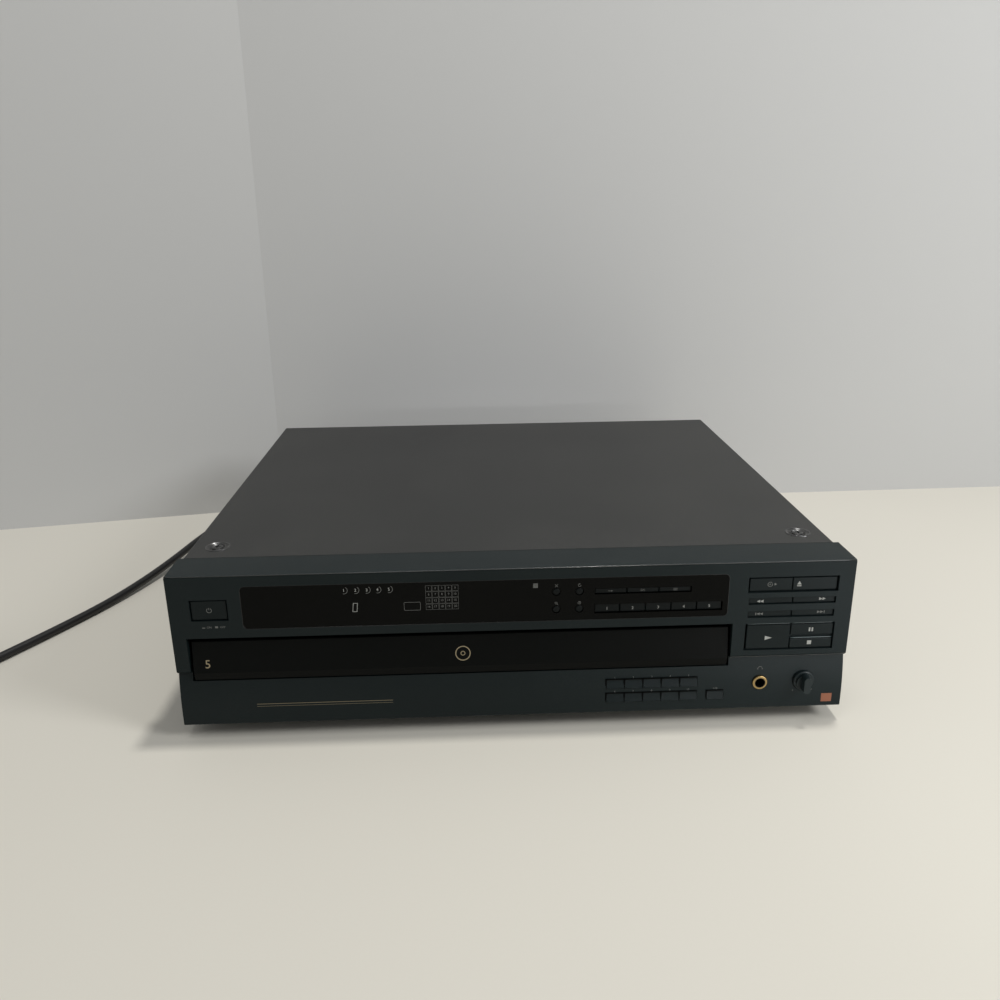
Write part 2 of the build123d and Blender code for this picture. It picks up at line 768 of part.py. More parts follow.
with BuildPart() as loading_base:
    block(base_left, base_right, base_start, base_end, base_low, base_low + base_floor)
    for edge in (-1, 1):
        wall_x = sorted((tray_x + edge * (base_right - tray_x), tray_x + edge * (base_right - tray_x - wall_thickness)))
        block(*wall_x, base_start, base_end, base_low + base_floor, rail_low)
        rail_x = sorted((tray_x + edge * (base_right - tray_x), tray_x + edge * rail_inner))
        block(*rail_x, base_start, base_end, rail_low, rail_high)
        groove_x = sorted((tray_x + edge * groove_reach, tray_x + edge * rail_inner))
        groove_low = tray_floor - slide_gap
        groove_high = tray_floor + tray_floor_thickness + slide_gap
        block(*groove_x, base_start, base_end, groove_low, groove_high, Mode.SUBTRACT)
    with BuildSketch(level.offset(base_low)):
        with Locations(((pit_left + base_right - wall_thickness) / 2, carousel_y)):
            Rectangle(base_right - wall_thickness - pit_left, 2 * pit_half_depth)
        with Locations((-130.0, 110.0), (-130.0, 250.0), (40.0, 300.0), (40.0, 70.0)):
            RectangleRounded(90, 60, 8)
    extrude(amount=base_floor, mode=Mode.SUBTRACT)
    for edge in (-1, 1):
        near = carousel_y + edge * (lift_half_width + 0.5)
        far = carousel_y + edge * (lift_half_width + 0.5 + hinge_pin_length)
        y0, y1 = sorted((near, far))
        block(lift_hinge_x - hinge_post_radius, lift_hinge_x + hinge_post_radius, y0, y1, base_low, lift_hinge_height)
        stub(lift_hinge_x, lift_hinge_height, hinge_post_radius, y0, y1)
        stub(lift_hinge_x, lift_hinge_height, hinge_pin_radius + running_gap, y0 - 1, y1 + 1, Mode.SUBTRACT)
    post(loading_pinion_x, loading_pinion_y, loading_post_radius, base_low + base_floor, rack_low)
    pin_top = rack_low + loading_pinion_height + slide_gap
    post(loading_pinion_x, loading_pinion_y, loading_pin_radius, rack_low, pin_top)
save(loading_base, "loading_base")

# ---------------------------------------------------------------- gear teeth
flank_steps = 3


def involute(base_radius, radius):
    """Polar angle of an involute at the given radius."""
    if radius <= base_radius:
        return 0.0
    slope = math.acos(base_radius / radius)
    return math.tan(slope) - slope


def gear_points(teeth, phase):
    """The outline of a spur gear, with a tooth centred on the given angle."""
    pitch = gear_module * teeth / 2
    base = pitch * math.cos(pressure_angle)
    tip = pitch + gear_module * 0.95
    root = pitch - gear_module * 1.2
    half_tooth = (math.pi * gear_module / 2 - gear_backlash) / (2 * pitch)
    start = max(base, root)
    points = []
    for tooth in range(teeth):
        centre = phase + tooth * math.tau / teeth
        flank = []
        for step in range(flank_steps + 1):
            radius = start + (tip - start) * step / flank_steps
            offset = half_tooth + involute(base, pitch) - involute(base, radius)
            flank.append((radius, offset))
        if root < start:
            flank.insert(0, (root, flank[0][1]))
        for radius, offset in flank:
            points.append((radius * math.cos(centre - offset), radius * math.sin(centre - offset)))
        for radius, offset in reversed(flank):
            points.append((radius * math.cos(centre + offset), radius * math.sin(centre + offset)))
    return points


def gear_blank(x, y, teeth, phase, z0, z1):
    """A spur gear with an upright axis."""
    with BuildSketch(level.offset(z0)) as outline:
        with BuildLine():
            Polyline(*[(x + px, y + py) for px, py in gear_points(teeth, phase)], close=True)
        make_face()
    extrude(outline.sketch, amount=z1 - z0)


rack_pitch = math.pi * gear_module
rack_centre_y = loading_pinion_y
pinion_y = carousel_y + (hub_teeth + pinion_teeth) * gear_module / 2 * math.sin(pinion_angle)
pinion_x = tray_x + (hub_teeth + pinion_teeth) * gear_module / 2 * math.cos(pinion_angle)
gear_low = tray_floor + tray_floor_thickness + gear_gap

# ---------------------------------------------------------------- tray
slot_half_width = turntable_radius + 7.0
window_half_depth = 20.0
window_x = (play_x - 24.0, tray_x + tray_half_width - tray_wall - 0.6)
slot_ceiling = 41.5
basin_radius = tray_half_width - tray_wall
basin_wall = 3.0

with BuildPart() as tray:
    block(tray_x - tray_half_width, tray_x + tray_half_width, tray_start, tray_end, tray_floor, deck_top)
    post(tray_x, carousel_y, basin_radius, tray_floor + tray_floor_thickness, deck_top, Mode.SUBTRACT)
    with BuildSketch(level.offset(tray_floor)):
        with Locations((tray_x, (tray_start + tray_end) / 2)):
            Rectangle(2 * (tray_half_width - tray_wall), tray_end - tray_start - 2 * tray_wall)
        with Locations((tray_x, carousel_y)):
            Circle(basin_radius + basin_wall, mode=Mode.SUBTRACT)
    extrude(amount=deck_top - tray_wall - tray_floor, mode=Mode.SUBTRACT)
    for edge in (-1, 1):
        tongue_x = sorted((tray_x + edge * tray_half_width, tray_x + edge * (tray_half_width + tongue_reach)))
        block(*tongue_x, tongue_start, tray_end, tray_floor, tray_floor + tray_floor_thickness)
    block(*window_x, carousel_y - window_half_depth, carousel_y + window_half_depth, tray_floor - 1, slot_ceiling,
          Mode.SUBTRACT)
    block(play_x - slot_half_width, play_x + slot_half_width, carousel_y, tray_end + 1, tray_floor - 1, slot_ceiling,
          Mode.SUBTRACT)
    post(tray_x, carousel_y, spindle_radius, tray_floor, deck_top + 1.5)
    post(pinion_x, pinion_y, pinion_pin_radius, tray_floor, carousel_low - 0.4)
    block(rack_x, rack_x + rack_bar, rack_start, rack_start + rack_teeth * rack_pitch, rack_low, tray_floor)
    with BuildSketch(level.offset(rack_low)):
        for tooth in range(rack_teeth):
            offset = tooth - round((rack_centre_y - rack_start) / rack_pitch) + 0.5
            y = rack_centre_y + offset * rack_pitch
            foot_half = rack_pitch / 4 + gear_module * math.tan(pressure_angle) - gear_backlash / 2
            tip_half = rack_pitch / 4 - gear_module * 0.95 * math.tan(pressure_angle) - gear_backlash / 2
            if y - foot_half > rack_start and y + foot_half < rack_start + rack_teeth * rack_pitch:
                with BuildLine():
                    Polyline(
                        (rack_x + rack_bar, y - foot_half),
                        (rack_pitch_x + gear_module * 0.95, y - tip_half),
                        (rack_pitch_x + gear_module * 0.95, y + tip_half),
                        (rack_x + rack_bar, y + foot_half),
                        close=True,
                    )
                make_face()
    extrude(amount=tray_floor - rack_low)
save(tray, "tray")

with BuildPart() as tray_front:
    with BuildSketch(side.offset(tray_x)):
        with BuildLine():
            Polyline(
                (tray_front_lip + tray_front_tuck, tray_front_low),
                (tray_front_lip, step_height),
                (tray_front_lip + tray_front_lean, tray_front_high),
                (tray_start, tray_front_high),
                (tray_start, tray_front_low),
                close=True,
            )
        make_face()
    extrude(amount=tray_front_width / 2, both=True)
    chamfer(tray_front.faces().sort_by(Axis.Z)[-1].edges().filter_by(Axis.X).sort_by(Axis.Y)[0], 0.5)
save(tray_front, "tray_front")

with BuildPart() as loading_pinion:
    gear_blank(loading_pinion_x, loading_pinion_y, pinion_teeth, math.pi, rack_low + 0.1, rack_low + loading_pinion_height)
    post(loading_pinion_x, loading_pinion_y, loading_pin_radius + running_gap, rack_low - 1, tray_floor, Mode.SUBTRACT)
save(loading_pinion, "loading_pinion")

# ---------------------------------------------------------------- carousel and its pinion
finger_notch_radius = 14.0

with BuildPart() as carousel:
    post(tray_x, carousel_y, carousel_radius, carousel_low, deck_top)
    recess_floor = carousel_low + carousel_plate
    with BuildSketch(level.offset(recess_floor)):
        with Locations((tray_x, carousel_y)):
            with PolarLocations(disc_ring_radius, disc_count):
                Circle(disc_recess_radius)
    extrude(amount=deck_top - recess_floor, mode=Mode.SUBTRACT)
    with BuildSketch(level.offset(recess_floor - single_recess_depth)):
        with Locations((tray_x, carousel_y)):
            with PolarLocations(disc_ring_radius, disc_count):
                Circle(single_recess_radius)
    extrude(amount=single_recess_depth, mode=Mode.SUBTRACT)
    with BuildSketch(level.offset(carousel_low)):
        with Locations((tray_x, carousel_y)):
            with PolarLocations(disc_ring_radius, disc_count):
                Circle(carousel_slot / 2)
            with PolarLocations(disc_ring_radius + carousel_radius / 2, disc_count):
                Rectangle(carousel_radius, carousel_slot)
            with PolarLocations(carousel_radius + 2.0, disc_count, start_angle=180 / disc_count):
                Circle(finger_notch_radius)
    extrude(amount=deck_top - carousel_low, mode=Mode.SUBTRACT)
    gear_blank(tray_x, carousel_y, hub_teeth, pinion_angle, gear_low, carousel_low)
    post(tray_x, carousel_y, spindle_radius + running_gap, gear_low, deck_top, Mode.SUBTRACT)
save(carousel, "carousel")

with BuildPart() as carousel_pinion:
    gear_blank(pinion_x, pinion_y, pinion_teeth, pinion_angle + math.pi + math.pi / pinion_teeth, gear_low, carousel_low - 0.5)
    post(pinion_x, pinion_y, pinion_pin_radius + running_gap, gear_low, carousel_low, Mode.SUBTRACT)
save(carousel_pinion, "carousel_pinion")

# ---------------------------------------------------------------- pickup frame: hinged at its left end, drawn here tilted down
slope = math.radians(lift_rest_angle)
hinge_point = (lift_hinge_x, front_y + carousel_y, foot_height + lift_hinge_height)
lift = Plane(origin=hinge_point, x_dir=(math.cos(slope), 0, -math.sin(slope)), z_dir=(math.sin(slope), 0, math.cos(slope)))
play_reach = play_x - lift_hinge_x
lens_reach = play_reach + lens_inner_radius
rod_start = play_reach + 8.0
well = (play_reach + motor_radius + 3.0, lens_reach + sled_ahead + lens_travel + sled_clearance)
lift_reach = well[1] + lift_end_bar
well_half = 27.0

with BuildPart() as lift_frame:
    with BuildSketch(lift.offset(-lift_plate / 2)):
        with Locations(((lift_reach + 4.0) / 2 - 4.0, 0)):
            Rectangle(lift_reach + 4.0, 2 * lift_half_width)
        with Locations(((well[0] + well[1]) / 2, 0)):
            Rectangle(well[1] - well[0], 2 * well_half, mode=Mode.SUBTRACT)
        with Locations((50.0, 0)):
            RectangleRounded(60, 46, 6, mode=Mode.SUBTRACT)
    extrude(amount=lift_plate)
    hinge_axis = Plane(origin=hinge_point, x_dir=(1, 0, 0), z_dir=(0, 1, 0))
    with BuildSketch(hinge_axis):
        Circle(hinge_post_radius)
    extrude(amount=lift_half_width, both=True)
    with BuildSketch(hinge_axis):
        Circle(hinge_pin_radius)
    extrude(amount=lift_half_width + hinge_pin_length, both=True)
    with BuildSketch(lift.offset(lift_plate / 2)):
        with Locations((play_reach, 0)):
            Circle(motor_radius)
    extrude(amount=motor_top - lift_plate / 2)
    with BuildSketch(lift):
        with Locations((play_reach, 0)):
            Circle(1.2 + running_gap)
    extrude(amount=motor_top, mode=Mode.SUBTRACT)
    rods = Plane(origin=lift.from_local_coords((well[0] - 2.0, 0, 0)), x_dir=(0, 1, 0), z_dir=lift.x_dir)
    with BuildSketch(rods):
        with Locations((-rod_spread, 0), (rod_spread, 0)):
            Circle(rod_radius)
    extrude(amount=well[1] - well[0] + 4.0)
save(lift_frame, "lift_frame")

with BuildPart() as turntable:
    with BuildSketch(lift.offset(motor_top + 0.6)):
        with Locations((play_reach, 0)):
            Circle(6.0)
    extrude(amount=turntable_top - 3.0 - motor_top - 0.6)
    with BuildSketch(lift.offset(turntable_top - 3.0)):
        with Locations((play_reach, 0)):
            Circle(turntable_radius)
    extrude(amount=3.0)
    with BuildSketch(lift.offset(turntable_top)):
        with Locations((play_reach, 0)):
            Circle(7.4)
    extrude(amount=3.0, taper=25)
    with BuildSketch(lift.offset(2.0)):
        with Locations((play_reach, 0)):
            Circle(1.2)
    extrude(amount=motor_top)
save(turntable, "turntable")

with BuildPart() as pickup_sled:
    with BuildSketch(lift.offset(-3.0)):
        with Locations((lens_reach + sled_ahead - sled_length / 2, 0)):
            Rectangle(sled_length, 2 * well_half - 2.0)
    extrude(amount=7.0)
    with BuildSketch(lift.offset(4.0)):
        with Locations((lens_reach, 0)):
            Rectangle(7.6, 20.0)
    extrude(amount=8.0)
    with BuildSketch(lift.offset(12.0)):
        with Locations((lens_reach, 0)):
            Circle(lens_radius)
    extrude(amount=lens_top - 12.0)
    with BuildSketch(rods):
        with Locations((-rod_spread, 0), (rod_spread, 0)):
            Circle(rod_radius + running_gap)
    extrude(amount=well[1] - well[0] + 4.0, mode=Mode.SUBTRACT)
save(pickup_sled, "pickup_sled")

# ---------------------------------------------------------------- bridge over the tray and the clamper that hangs in it
bridge_edge = base_right - tray_x
clamp_hole_radius = 9.5
flange_low = 55.0

with BuildPart() as clamp_bridge:
    with BuildSketch(front.offset(-(carousel_y - bridge_half_depth))):
        with BuildLine():
            Polyline(
                (tray_x - bridge_edge, rail_high),
                (tray_x - bridge_edge, bridge_height + sheet),
                (tray_x + bridge_edge, bridge_height + sheet),
                (tray_x + bridge_edge, rail_high),
                (tray_x + rail_inner, rail_high),
                (tray_x + rail_inner, rail_high + sheet),
                (tray_x + bridge_edge - sheet, rail_high + sheet),
                (tray_x + bridge_edge - sheet, bridge_height),
                (tray_x - bridge_edge + sheet, bridge_height),
                (tray_x - bridge_edge + sheet, rail_high + sheet),
                (tray_x - rail_inner, rail_high + sheet),
                (tray_x - rail_inner, rail_high),
                close=True,
            )
        make_face()
    extrude(amount=-2 * bridge_half_depth)
    for edge in (-1, 1):
        y0, y1 = sorted((carousel_y + edge * bridge_half_depth, carousel_y + edge * (bridge_half_depth - sheet)))
        block(tray_x - bridge_edge + sheet, tray_x + bridge_edge - sheet, y0, y1, flange_low, bridge_height)
    post(play_x, carousel_y, clamp_hole_radius, bridge_height, bridge_height + sheet, Mode.SUBTRACT)
save(clamp_bridge, "clamp_bridge")

with BuildPart() as clamper:
    with BuildSketch(side.offset(play_x)):
        with BuildLine():
            Polyline(
                (carousel_y, clamper_low + 2.2),
                (carousel_y + 9.0, clamper_low + 2.2),
                (carousel_y + 9.0, clamper_low),
                (carousel_y + clamper_radius, clamper_low),
                (carousel_y + clamper_radius, clamper_low + 4.0),
                (carousel_y + clamper_neck_radius, clamper_low + 4.0),
                (carousel_y + clamper_neck_radius, bridge_height + sheet + running_gap),
                (carousel_y + clamper_radius - 2.0, bridge_height + sheet + running_gap),
                (carousel_y + clamper_radius - 2.0, bridge_height + sheet + 2.0),
                (carousel_y, bridge_height + sheet + 2.0),
                close=True,
            )
        make_face()
    revolve(axis=Axis((play_x, front_y + carousel_y, 0), (0, 0, 1)))
save(clamper, "clamper")

# ---------------------------------------------------------------- mains cord: free length, put-away coil, plug
cord_radius = cord_diameter / 2
cord_gap = 0.6
cord_start = (cord_exit_x, rear_face + bush_reach, cord_exit_height)
# Points across, behind the front face and above the cabinet's floor line.
cord_route = [
    cord_start,
    (cord_exit_x, rear_face + bush_reach + 24.0, cord_exit_height),
    (-189.0, 434.0, 20.0),
    (-213.0, 449.0, 11.4),
    (-243.0, 446.0, 6.2),
    (-269.0, 424.0, 3.2),
    (-288.0, 386.0, 1.4),
    (-301.0, 340.0, 0.2),
    (-312.0, 294.0, -2.2),
    (-325.5, 250.0, -4.6),
    (-343.0, 206.0, -6.6),
    (-364.0, 163.0, -7.0),
    (-386.0, 121.0, -7.0),
    (-409.6, 79.6, -7.0),
]
table = -foot_height + cord_radius


def placed(point):
    """A point of the cord in the model's frame, never under the table."""
    x, y, z = point
    return Vector(x, front_y + y, foot_height + max(z, table))


cord_points = [placed(point) for point in cord_route]
corner_radii = []
for before, corner, after in zip(cord_points, cord_points[1:], cord_points[2:]):
    turn = math.radians((corner - before).get_angle(after - corner))
    shorter = min((corner - before).length, (after - corner).length)
    corner_radii.append(0.45 * shorter / math.tan(turn / 2))
print("cord corner radii", [round(radius, 1) for radius in corner_radii])

with BuildPart() as mains_cord:
    with BuildLine() as cord_line:
        FilletPolyline(*cord_points, radius=corner_radii)
    cord_path = cord_line.wire()
    with BuildSketch(Plane(origin=cord_path @ 0, z_dir=cord_path % 0)):
        Circle(cord_radius)
    sweep()
save(mains_cord, "mains_cord")
section = math.pi * cord_radius**2
print("cord volume over section times length", mains_cord.part.volume / (section * cord_path.length))
print("cord length", cord_path.length)

# The coil: a flat spiral inwards, a climb of one layer where it reverses, and out again on top.
coil_mean_radius = 36.0
coil_turns = 5
coil_tail = 42.0
coil_pitch = cord_diameter + cord_gap
layer_rise = cord_diameter + cord_gap
quarter = math.pi / 2
coil_heading = (cord_points[-1] - cord_points[-2])
coil_start = cord_points[-1]
start_angle = math.atan2(coil_heading.Y, coil_heading.X) + quarter
outer_radius = coil_mean_radius + coil_pitch * coil_turns / 4
coil_centre = coil_start - Vector(math.cos(start_angle), math.sin(start_angle), 0) * outer_radius
coil_angle = coil_turns * math.tau
climb_angle = math.pi
climb_start = (coil_angle - climb_angle) / 2


def coil_point(angle):
    """Where the coil's centre line is after turning through an angle, clockwise seen from above."""
    wound = min(angle, coil_angle - angle)
    radius = outer_radius - coil_pitch * wound / math.tau
    share = min(max((angle - climb_start) / climb_angle, 0), 1)
    height = layer_rise * (1 - math.cos(math.pi * share)) / 2
    turned = start_angle - angle
    return coil_centre + Vector(radius * math.cos(turned), radius * math.sin(turned), height)


def coil_tangent(angle):
    """The direction of the coil's centre line, level where a layer is level."""
    step = 0.001
    return (coil_point(min(angle + step, coil_angle)) - coil_point(max(angle - step, 0))).normalized()


def biarc(start, end, start_direction, end_direction):
    """The two points that a pair of arcs, tangent at both ends, needs between its ends."""
    span = end - start
    both = start_direction + end_direction
    lean = 2 * (1 - start_direction.dot(end_direction))
    reach = (-span.dot(both) + math.sqrt(span.dot(both) ** 2 + lean * span.dot(span))) / lean
    first = start + start_direction * reach
    last = end - end_direction * reach
    return (first + last) * 0.5, (last - first).normalized()


quarter_count = round(coil_angle / quarter)
with BuildPart() as cord_coil:
    with BuildLine() as coil_line:
        for index in range(quarter_count):
            start = coil_point(index * quarter)
            end = coil_point((index + 1) * quarter)
            start_direction = coil_tangent(index * quarter) if index else coil_heading.normalized()
            end_direction = coil_tangent((index + 1) * quarter)
            middle, middle_direction = biarc(start, end, start_direction, end_direction)
            TangentArc(start, middle, tangent=start_direction)
            TangentArc(middle, end, tangent=middle_direction)
        Line(end, end + end_direction * coil_tail)
    coil_path = coil_line.wire()
    with BuildSketch(Plane(origin=coil_path @ 0, z_dir=coil_path % 0)):
        Circle(cord_radius)
    sweep()
save(cord_coil, "cord_coil")

sample_count = 480
samples = [coil_path @ (index / sample_count) for index in range(sample_count + 1)]
apart = round(4 * cord_diameter / (coil_path.length / sample_count))
least = min((near - far).length for index, near in enumerate(samples) for far in samples[index + apart :])
print("coil least gap to itself", least - cord_diameter, "coil length", coil_path.length)
print("coil volume over section times length", cord_coil.part.volume / (section * coil_path.length))

plug_length = 30.0
plug_width = 24.0
blade_pitch = 12.7
plug_start = end + end_direction * coil_tail
plug_plane = Plane(origin=plug_start, x_dir=end_direction.cross(Vector(0, 0, 1)), z_dir=end_direction)
plug_half_height = plug_start.Z - 0.2

with BuildPart() as mains_plug:
    with BuildSketch(plug_plane):
        Circle(cord_radius + 1.0)
    with BuildSketch(plug_plane.offset(10.0)):
        RectangleRounded(plug_width - 6, 2 * plug_half_height - 4, 4)
    loft()
    with BuildSketch(plug_plane.offset(10.0)):
        RectangleRounded(plug_width, 2 * plug_half_height, 5)
    extrude(amount=plug_length - 10.0)
    with BuildSketch(plug_plane.offset(plug_length)):
        with Locations((-blade_pitch / 2, 0), (blade_pitch / 2, 0)):
            Rectangle(1.5, 6.3)
    extrude(amount=17.5)
save(mains_plug, "mains_plug")
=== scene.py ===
"""A five-disc carousel changer of full hi-fi width, with its finishes, marks, screws, lead and stage."""

import math

import bmesh
import bpy
import numpy as np
from mathutils import Matrix, Vector


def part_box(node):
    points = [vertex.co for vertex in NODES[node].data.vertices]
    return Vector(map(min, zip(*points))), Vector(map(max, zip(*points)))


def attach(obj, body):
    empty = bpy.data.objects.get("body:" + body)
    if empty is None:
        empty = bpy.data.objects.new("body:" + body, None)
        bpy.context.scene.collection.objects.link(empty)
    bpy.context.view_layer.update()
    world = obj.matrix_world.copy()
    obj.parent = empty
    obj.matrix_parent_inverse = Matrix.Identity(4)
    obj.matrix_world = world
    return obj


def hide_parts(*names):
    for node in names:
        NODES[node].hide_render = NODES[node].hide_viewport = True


bl_info = {
    "name": "Disc Changer",
    "version": (1, 0, 0),
    "blender": (4, 5, 0),
    "location": "View3D > Sidebar > Changer",
    "description": "Dresses a carousel disc changer with its finishes, marks, screws, lead and stage",
    "category": "Object",
}

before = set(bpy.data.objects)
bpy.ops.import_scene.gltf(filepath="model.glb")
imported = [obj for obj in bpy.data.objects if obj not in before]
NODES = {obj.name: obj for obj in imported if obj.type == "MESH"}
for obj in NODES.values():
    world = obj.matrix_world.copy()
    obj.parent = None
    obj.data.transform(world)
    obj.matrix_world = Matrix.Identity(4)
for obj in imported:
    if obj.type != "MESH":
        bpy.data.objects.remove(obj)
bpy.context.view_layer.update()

MM = 0.001
PANEL_LOW, PANEL_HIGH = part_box("front_panel")

# Sizes in millimetres: across from the middle, up from the panel's lower edge, back from its face.
PANEL_LEFT, PANEL_RIGHT = PANEL_LOW.x / MM, PANEL_HIGH.x / MM
PANEL_HEIGHT = (PANEL_HIGH.z - PANEL_LOW.z) / MM
COVER_HALF_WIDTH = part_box("top_cover")[1].x / MM
REAR_FACE = (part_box("rear_panel")[1].y - PANEL_LOW.y) / MM
WINDOW_FACE = 0.3
WINDOW_LEFT, WINDOW_RIGHT = -170.0, 135.2
WINDOW_BOTTOM, WINDOW_TOP = 68.0, 97.0
WINDOW_CORNER = 3.0
STEP_HEIGHT = 37.5
STEP_START = 139.5
STEP_BACK = 1.8
COVE_FOOT = 5.0
COVE_DEPTH = 3.7
JACK_RING = 3.5
TRAY_FACE = 0.4
TRAY_LEAN = 3.2
TRAY_TOP = 58.7
INK_PROUD = 0.04
INK_SUNK = 0.06
ROUND_KEYS = ("edit_key", "repeat_key", "search_key", "time_key")
MODE_KEYS = ("continue_key", "shuffle_key", "program_key")


# ---------------------------------------------------------------- where things are
def vector(*numbers):
    """Numbers as a numpy row."""
    return np.array(numbers, float)


def spot(x, z, depth=0.0):
    """A point in metres from millimetres across, up and back."""
    return vector(x * MM, PANEL_LOW.y + depth * MM, PANEL_LOW.z + z * MM)


def front_face(depth):
    """The upright plane at a depth behind the panel's face: its zero, its right and its up."""
    return spot(0, 0, depth), vector(1, 0, 0), vector(0, 0, 1)


def level_face(height):
    """The level plane at a height, with its up towards the back."""
    return spot(0, height), vector(1, 0, 0), vector(0, 1, 0)


def rear_plane(depth):
    """The upright plane that faces the back, with its right towards -X."""
    return spot(0, 0, depth), vector(-1, 0, 0), vector(0, 0, 1)


def cove_at(z):
    """Depth of the hollow lower face at a height: the sagitta of the arc that starts upright at its foot."""
    rise = STEP_HEIGHT - COVE_FOOT
    radius = (rise**2 + COVE_DEPTH**2) / (2 * COVE_DEPTH)
    return radius - math.sqrt(radius**2 - max(z - COVE_FOOT, 0.0) ** 2)


def tray_face():
    """The leaning plane of the tray's front: its up follows the lean, its zero is at the step's height."""
    lean = vector(0, TRAY_LEAN, TRAY_TOP - STEP_HEIGHT)
    return spot(0, STEP_HEIGHT, TRAY_FACE), vector(1, 0, 0), lean / np.linalg.norm(lean)


def on_face(face, flat, lift):
    """Points of a face: its zero plus x rights, y ups and a lift outwards, all in millimetres."""
    zero, right, up = face
    out = np.cross(right, up)
    flat = np.asarray(flat, float)
    lift = np.asarray(lift, float)[..., None]
    return zero + MM * (flat[..., :1] * right + flat[..., 1:2] * up + lift * out)


def is_number_key(name):
    """Whether a key is one of the eleven below the tray."""
    return name.startswith("number_") or name == "over_ten_key"


def is_window_key(name):
    """Whether a key sits in the smoked window."""
    return name in ROUND_KEYS + MODE_KEYS or (name.startswith("disc_") and name[len("disc_")].isdigit())


# ---------------------------------------------------------------- surfaces worked out as whole arrays
def grid_faces(rows, columns, close_rows=False):
    """Quads between neighbouring rows of a grid whose columns run round a closed section."""
    row = np.arange(rows if close_rows else rows - 1)[:, None]
    column = np.arange(columns)[None, :]
    following = (row + 1) % rows
    beside = (column + 1) % columns
    corners = ((row, column), (row, beside), (following, beside), (following, column))
    quads = np.stack([line * columns + place for line, place in corners], axis=-1)
    return quads.reshape(-1, 4).tolist()


def closed_grid(points, close_rows=False):
    """A surface from an array of rows by columns by three: closed columns, and one face over each end."""
    rows, columns = points.shape[:2]
    faces = grid_faces(rows, columns, close_rows)
    if not close_rows:
        faces.append(list(range(columns))[::-1])
        faces.append([(rows - 1) * columns + index for index in range(columns)])
    return points.reshape(-1, 3), faces


def stroke(face, path, width, closed=False):
    """A line of ink: a rectangle carried along a flat path, half the width to each side along the mitre."""
    path = np.asarray(path, float)
    before = np.roll(path, 1, axis=0) if closed else np.vstack([path[:1] * 2 - path[1:2], path[:-1]])
    after = np.roll(path, -1, axis=0) if closed else np.vstack([path[1:], path[-1:] * 2 - path[-2:-1]])
    first = path - before
    second = after - path
    first /= np.linalg.norm(first, axis=1, keepdims=True)
    second /= np.linalg.norm(second, axis=1, keepdims=True)
    mitre = first + second
    mitre /= np.linalg.norm(mitre, axis=1, keepdims=True)
    reach = width / 2 / np.maximum((mitre * first).sum(axis=1, keepdims=True), 0.4)
    aside = np.stack([-mitre[:, 1], mitre[:, 0]], axis=1) * reach
    flat = np.stack([path + aside, path - aside, path - aside, path + aside], axis=1)
    lift = np.broadcast_to([-INK_SUNK, -INK_SUNK, INK_PROUD, INK_PROUD], flat.shape[:2])
    return closed_grid(on_face(face, flat, lift), closed)


def plate(face, outline, low=-INK_SUNK, high=INK_PROUD):
    """A flat prism: its outline at two lifts, closed by one face each."""
    flat = np.broadcast_to(np.asarray(outline, float), (2, len(outline), 2))
    lift = np.array([[low], [high]]) * np.ones((2, len(outline)))
    return closed_grid(on_face(face, flat, lift))


def arc(x, y, radius, start=0.0, stop=360.0, count=32):
    """Points on a circle: radius times cosine and sine of evenly spaced angles in degrees."""
    whole = abs(stop - start) >= 360.0
    angle = np.radians(np.linspace(start, stop, count, endpoint=not whole))
    return np.stack([x + radius * np.cos(angle), y + radius * np.sin(angle)], axis=1)


def box_path(x0, x1, y0, y1):
    """The four corners of a rectangle."""
    return np.array([(x0, y0), (x1, y0), (x1, y1), (x0, y1)], float)


def rounded_path(x0, x1, y0, y1, radius, count=6):
    """A rectangle whose corners are quarter circles."""
    corners = ((x1 - radius, y0 + radius, -90), (x1 - radius, y1 - radius, 0),
               (x0 + radius, y1 - radius, 90), (x0 + radius, y0 + radius, 180))
    return np.vstack([arc(x, y, radius, start, start + 90, count) for x, y, start in corners])


def numeral(face, words, x, y, height):
    """Figures in Blender's own font, as tall as asked, middle on the point."""
    text = bpy.data.curves.new("figures", "FONT")
    text.body = words
    text.align_x = "CENTER"
    text.extrude = 0.5
    text.resolution_u = 3
    carrier = bpy.data.objects.new("figures", text)
    bpy.context.scene.collection.objects.link(carrier)
    bpy.context.view_layer.update()
    mesh = bpy.data.meshes.new_from_object(carrier.evaluated_get(bpy.context.evaluated_depsgraph_get()))
    shape = bmesh.new()
    shape.from_mesh(mesh)
    bmesh.ops.remove_doubles(shape, verts=shape.verts, dist=1e-5)
    bmesh.ops.recalc_face_normals(shape, faces=shape.faces)
    shape.to_mesh(mesh)
    shape.free()
    points = np.empty(len(mesh.vertices) * 3)
    mesh.vertices.foreach_get("co", points)
    points = points.reshape(-1, 3)
    faces = [list(polygon.vertices) for polygon in mesh.polygons]
    bpy.data.objects.remove(carrier)
    bpy.data.curves.remove(text)
    bpy.data.meshes.remove(mesh)
    low, high = points.min(axis=0), points.max(axis=0)
    scale = height / (high[1] - low[1])
    flat = (points[:, :2] - (low[:2] + high[:2]) / 2) * scale + vector(x, y)
    lift = np.where(points[:, 2] > 0, INK_PROUD, -INK_SUNK)
    return on_face(face, flat, lift), faces


def turned(zero, axis, across, profile, count=64):
    """A surface of revolution: profile pairs of radius and height, turned round an axis through zero."""
    profile = np.asarray(profile, float)
    axis = axis / np.linalg.norm(axis)
    across = across / np.linalg.norm(across)
    beside = np.cross(axis, across)
    angle = np.linspace(0, math.tau, count, endpoint=False)
    ring = np.cos(angle)[:, None] * across + np.sin(angle)[:, None] * beside
    return closed_grid(zero + MM * (profile[:, 0, None, None] * ring + profile[:, 1, None, None] * axis))


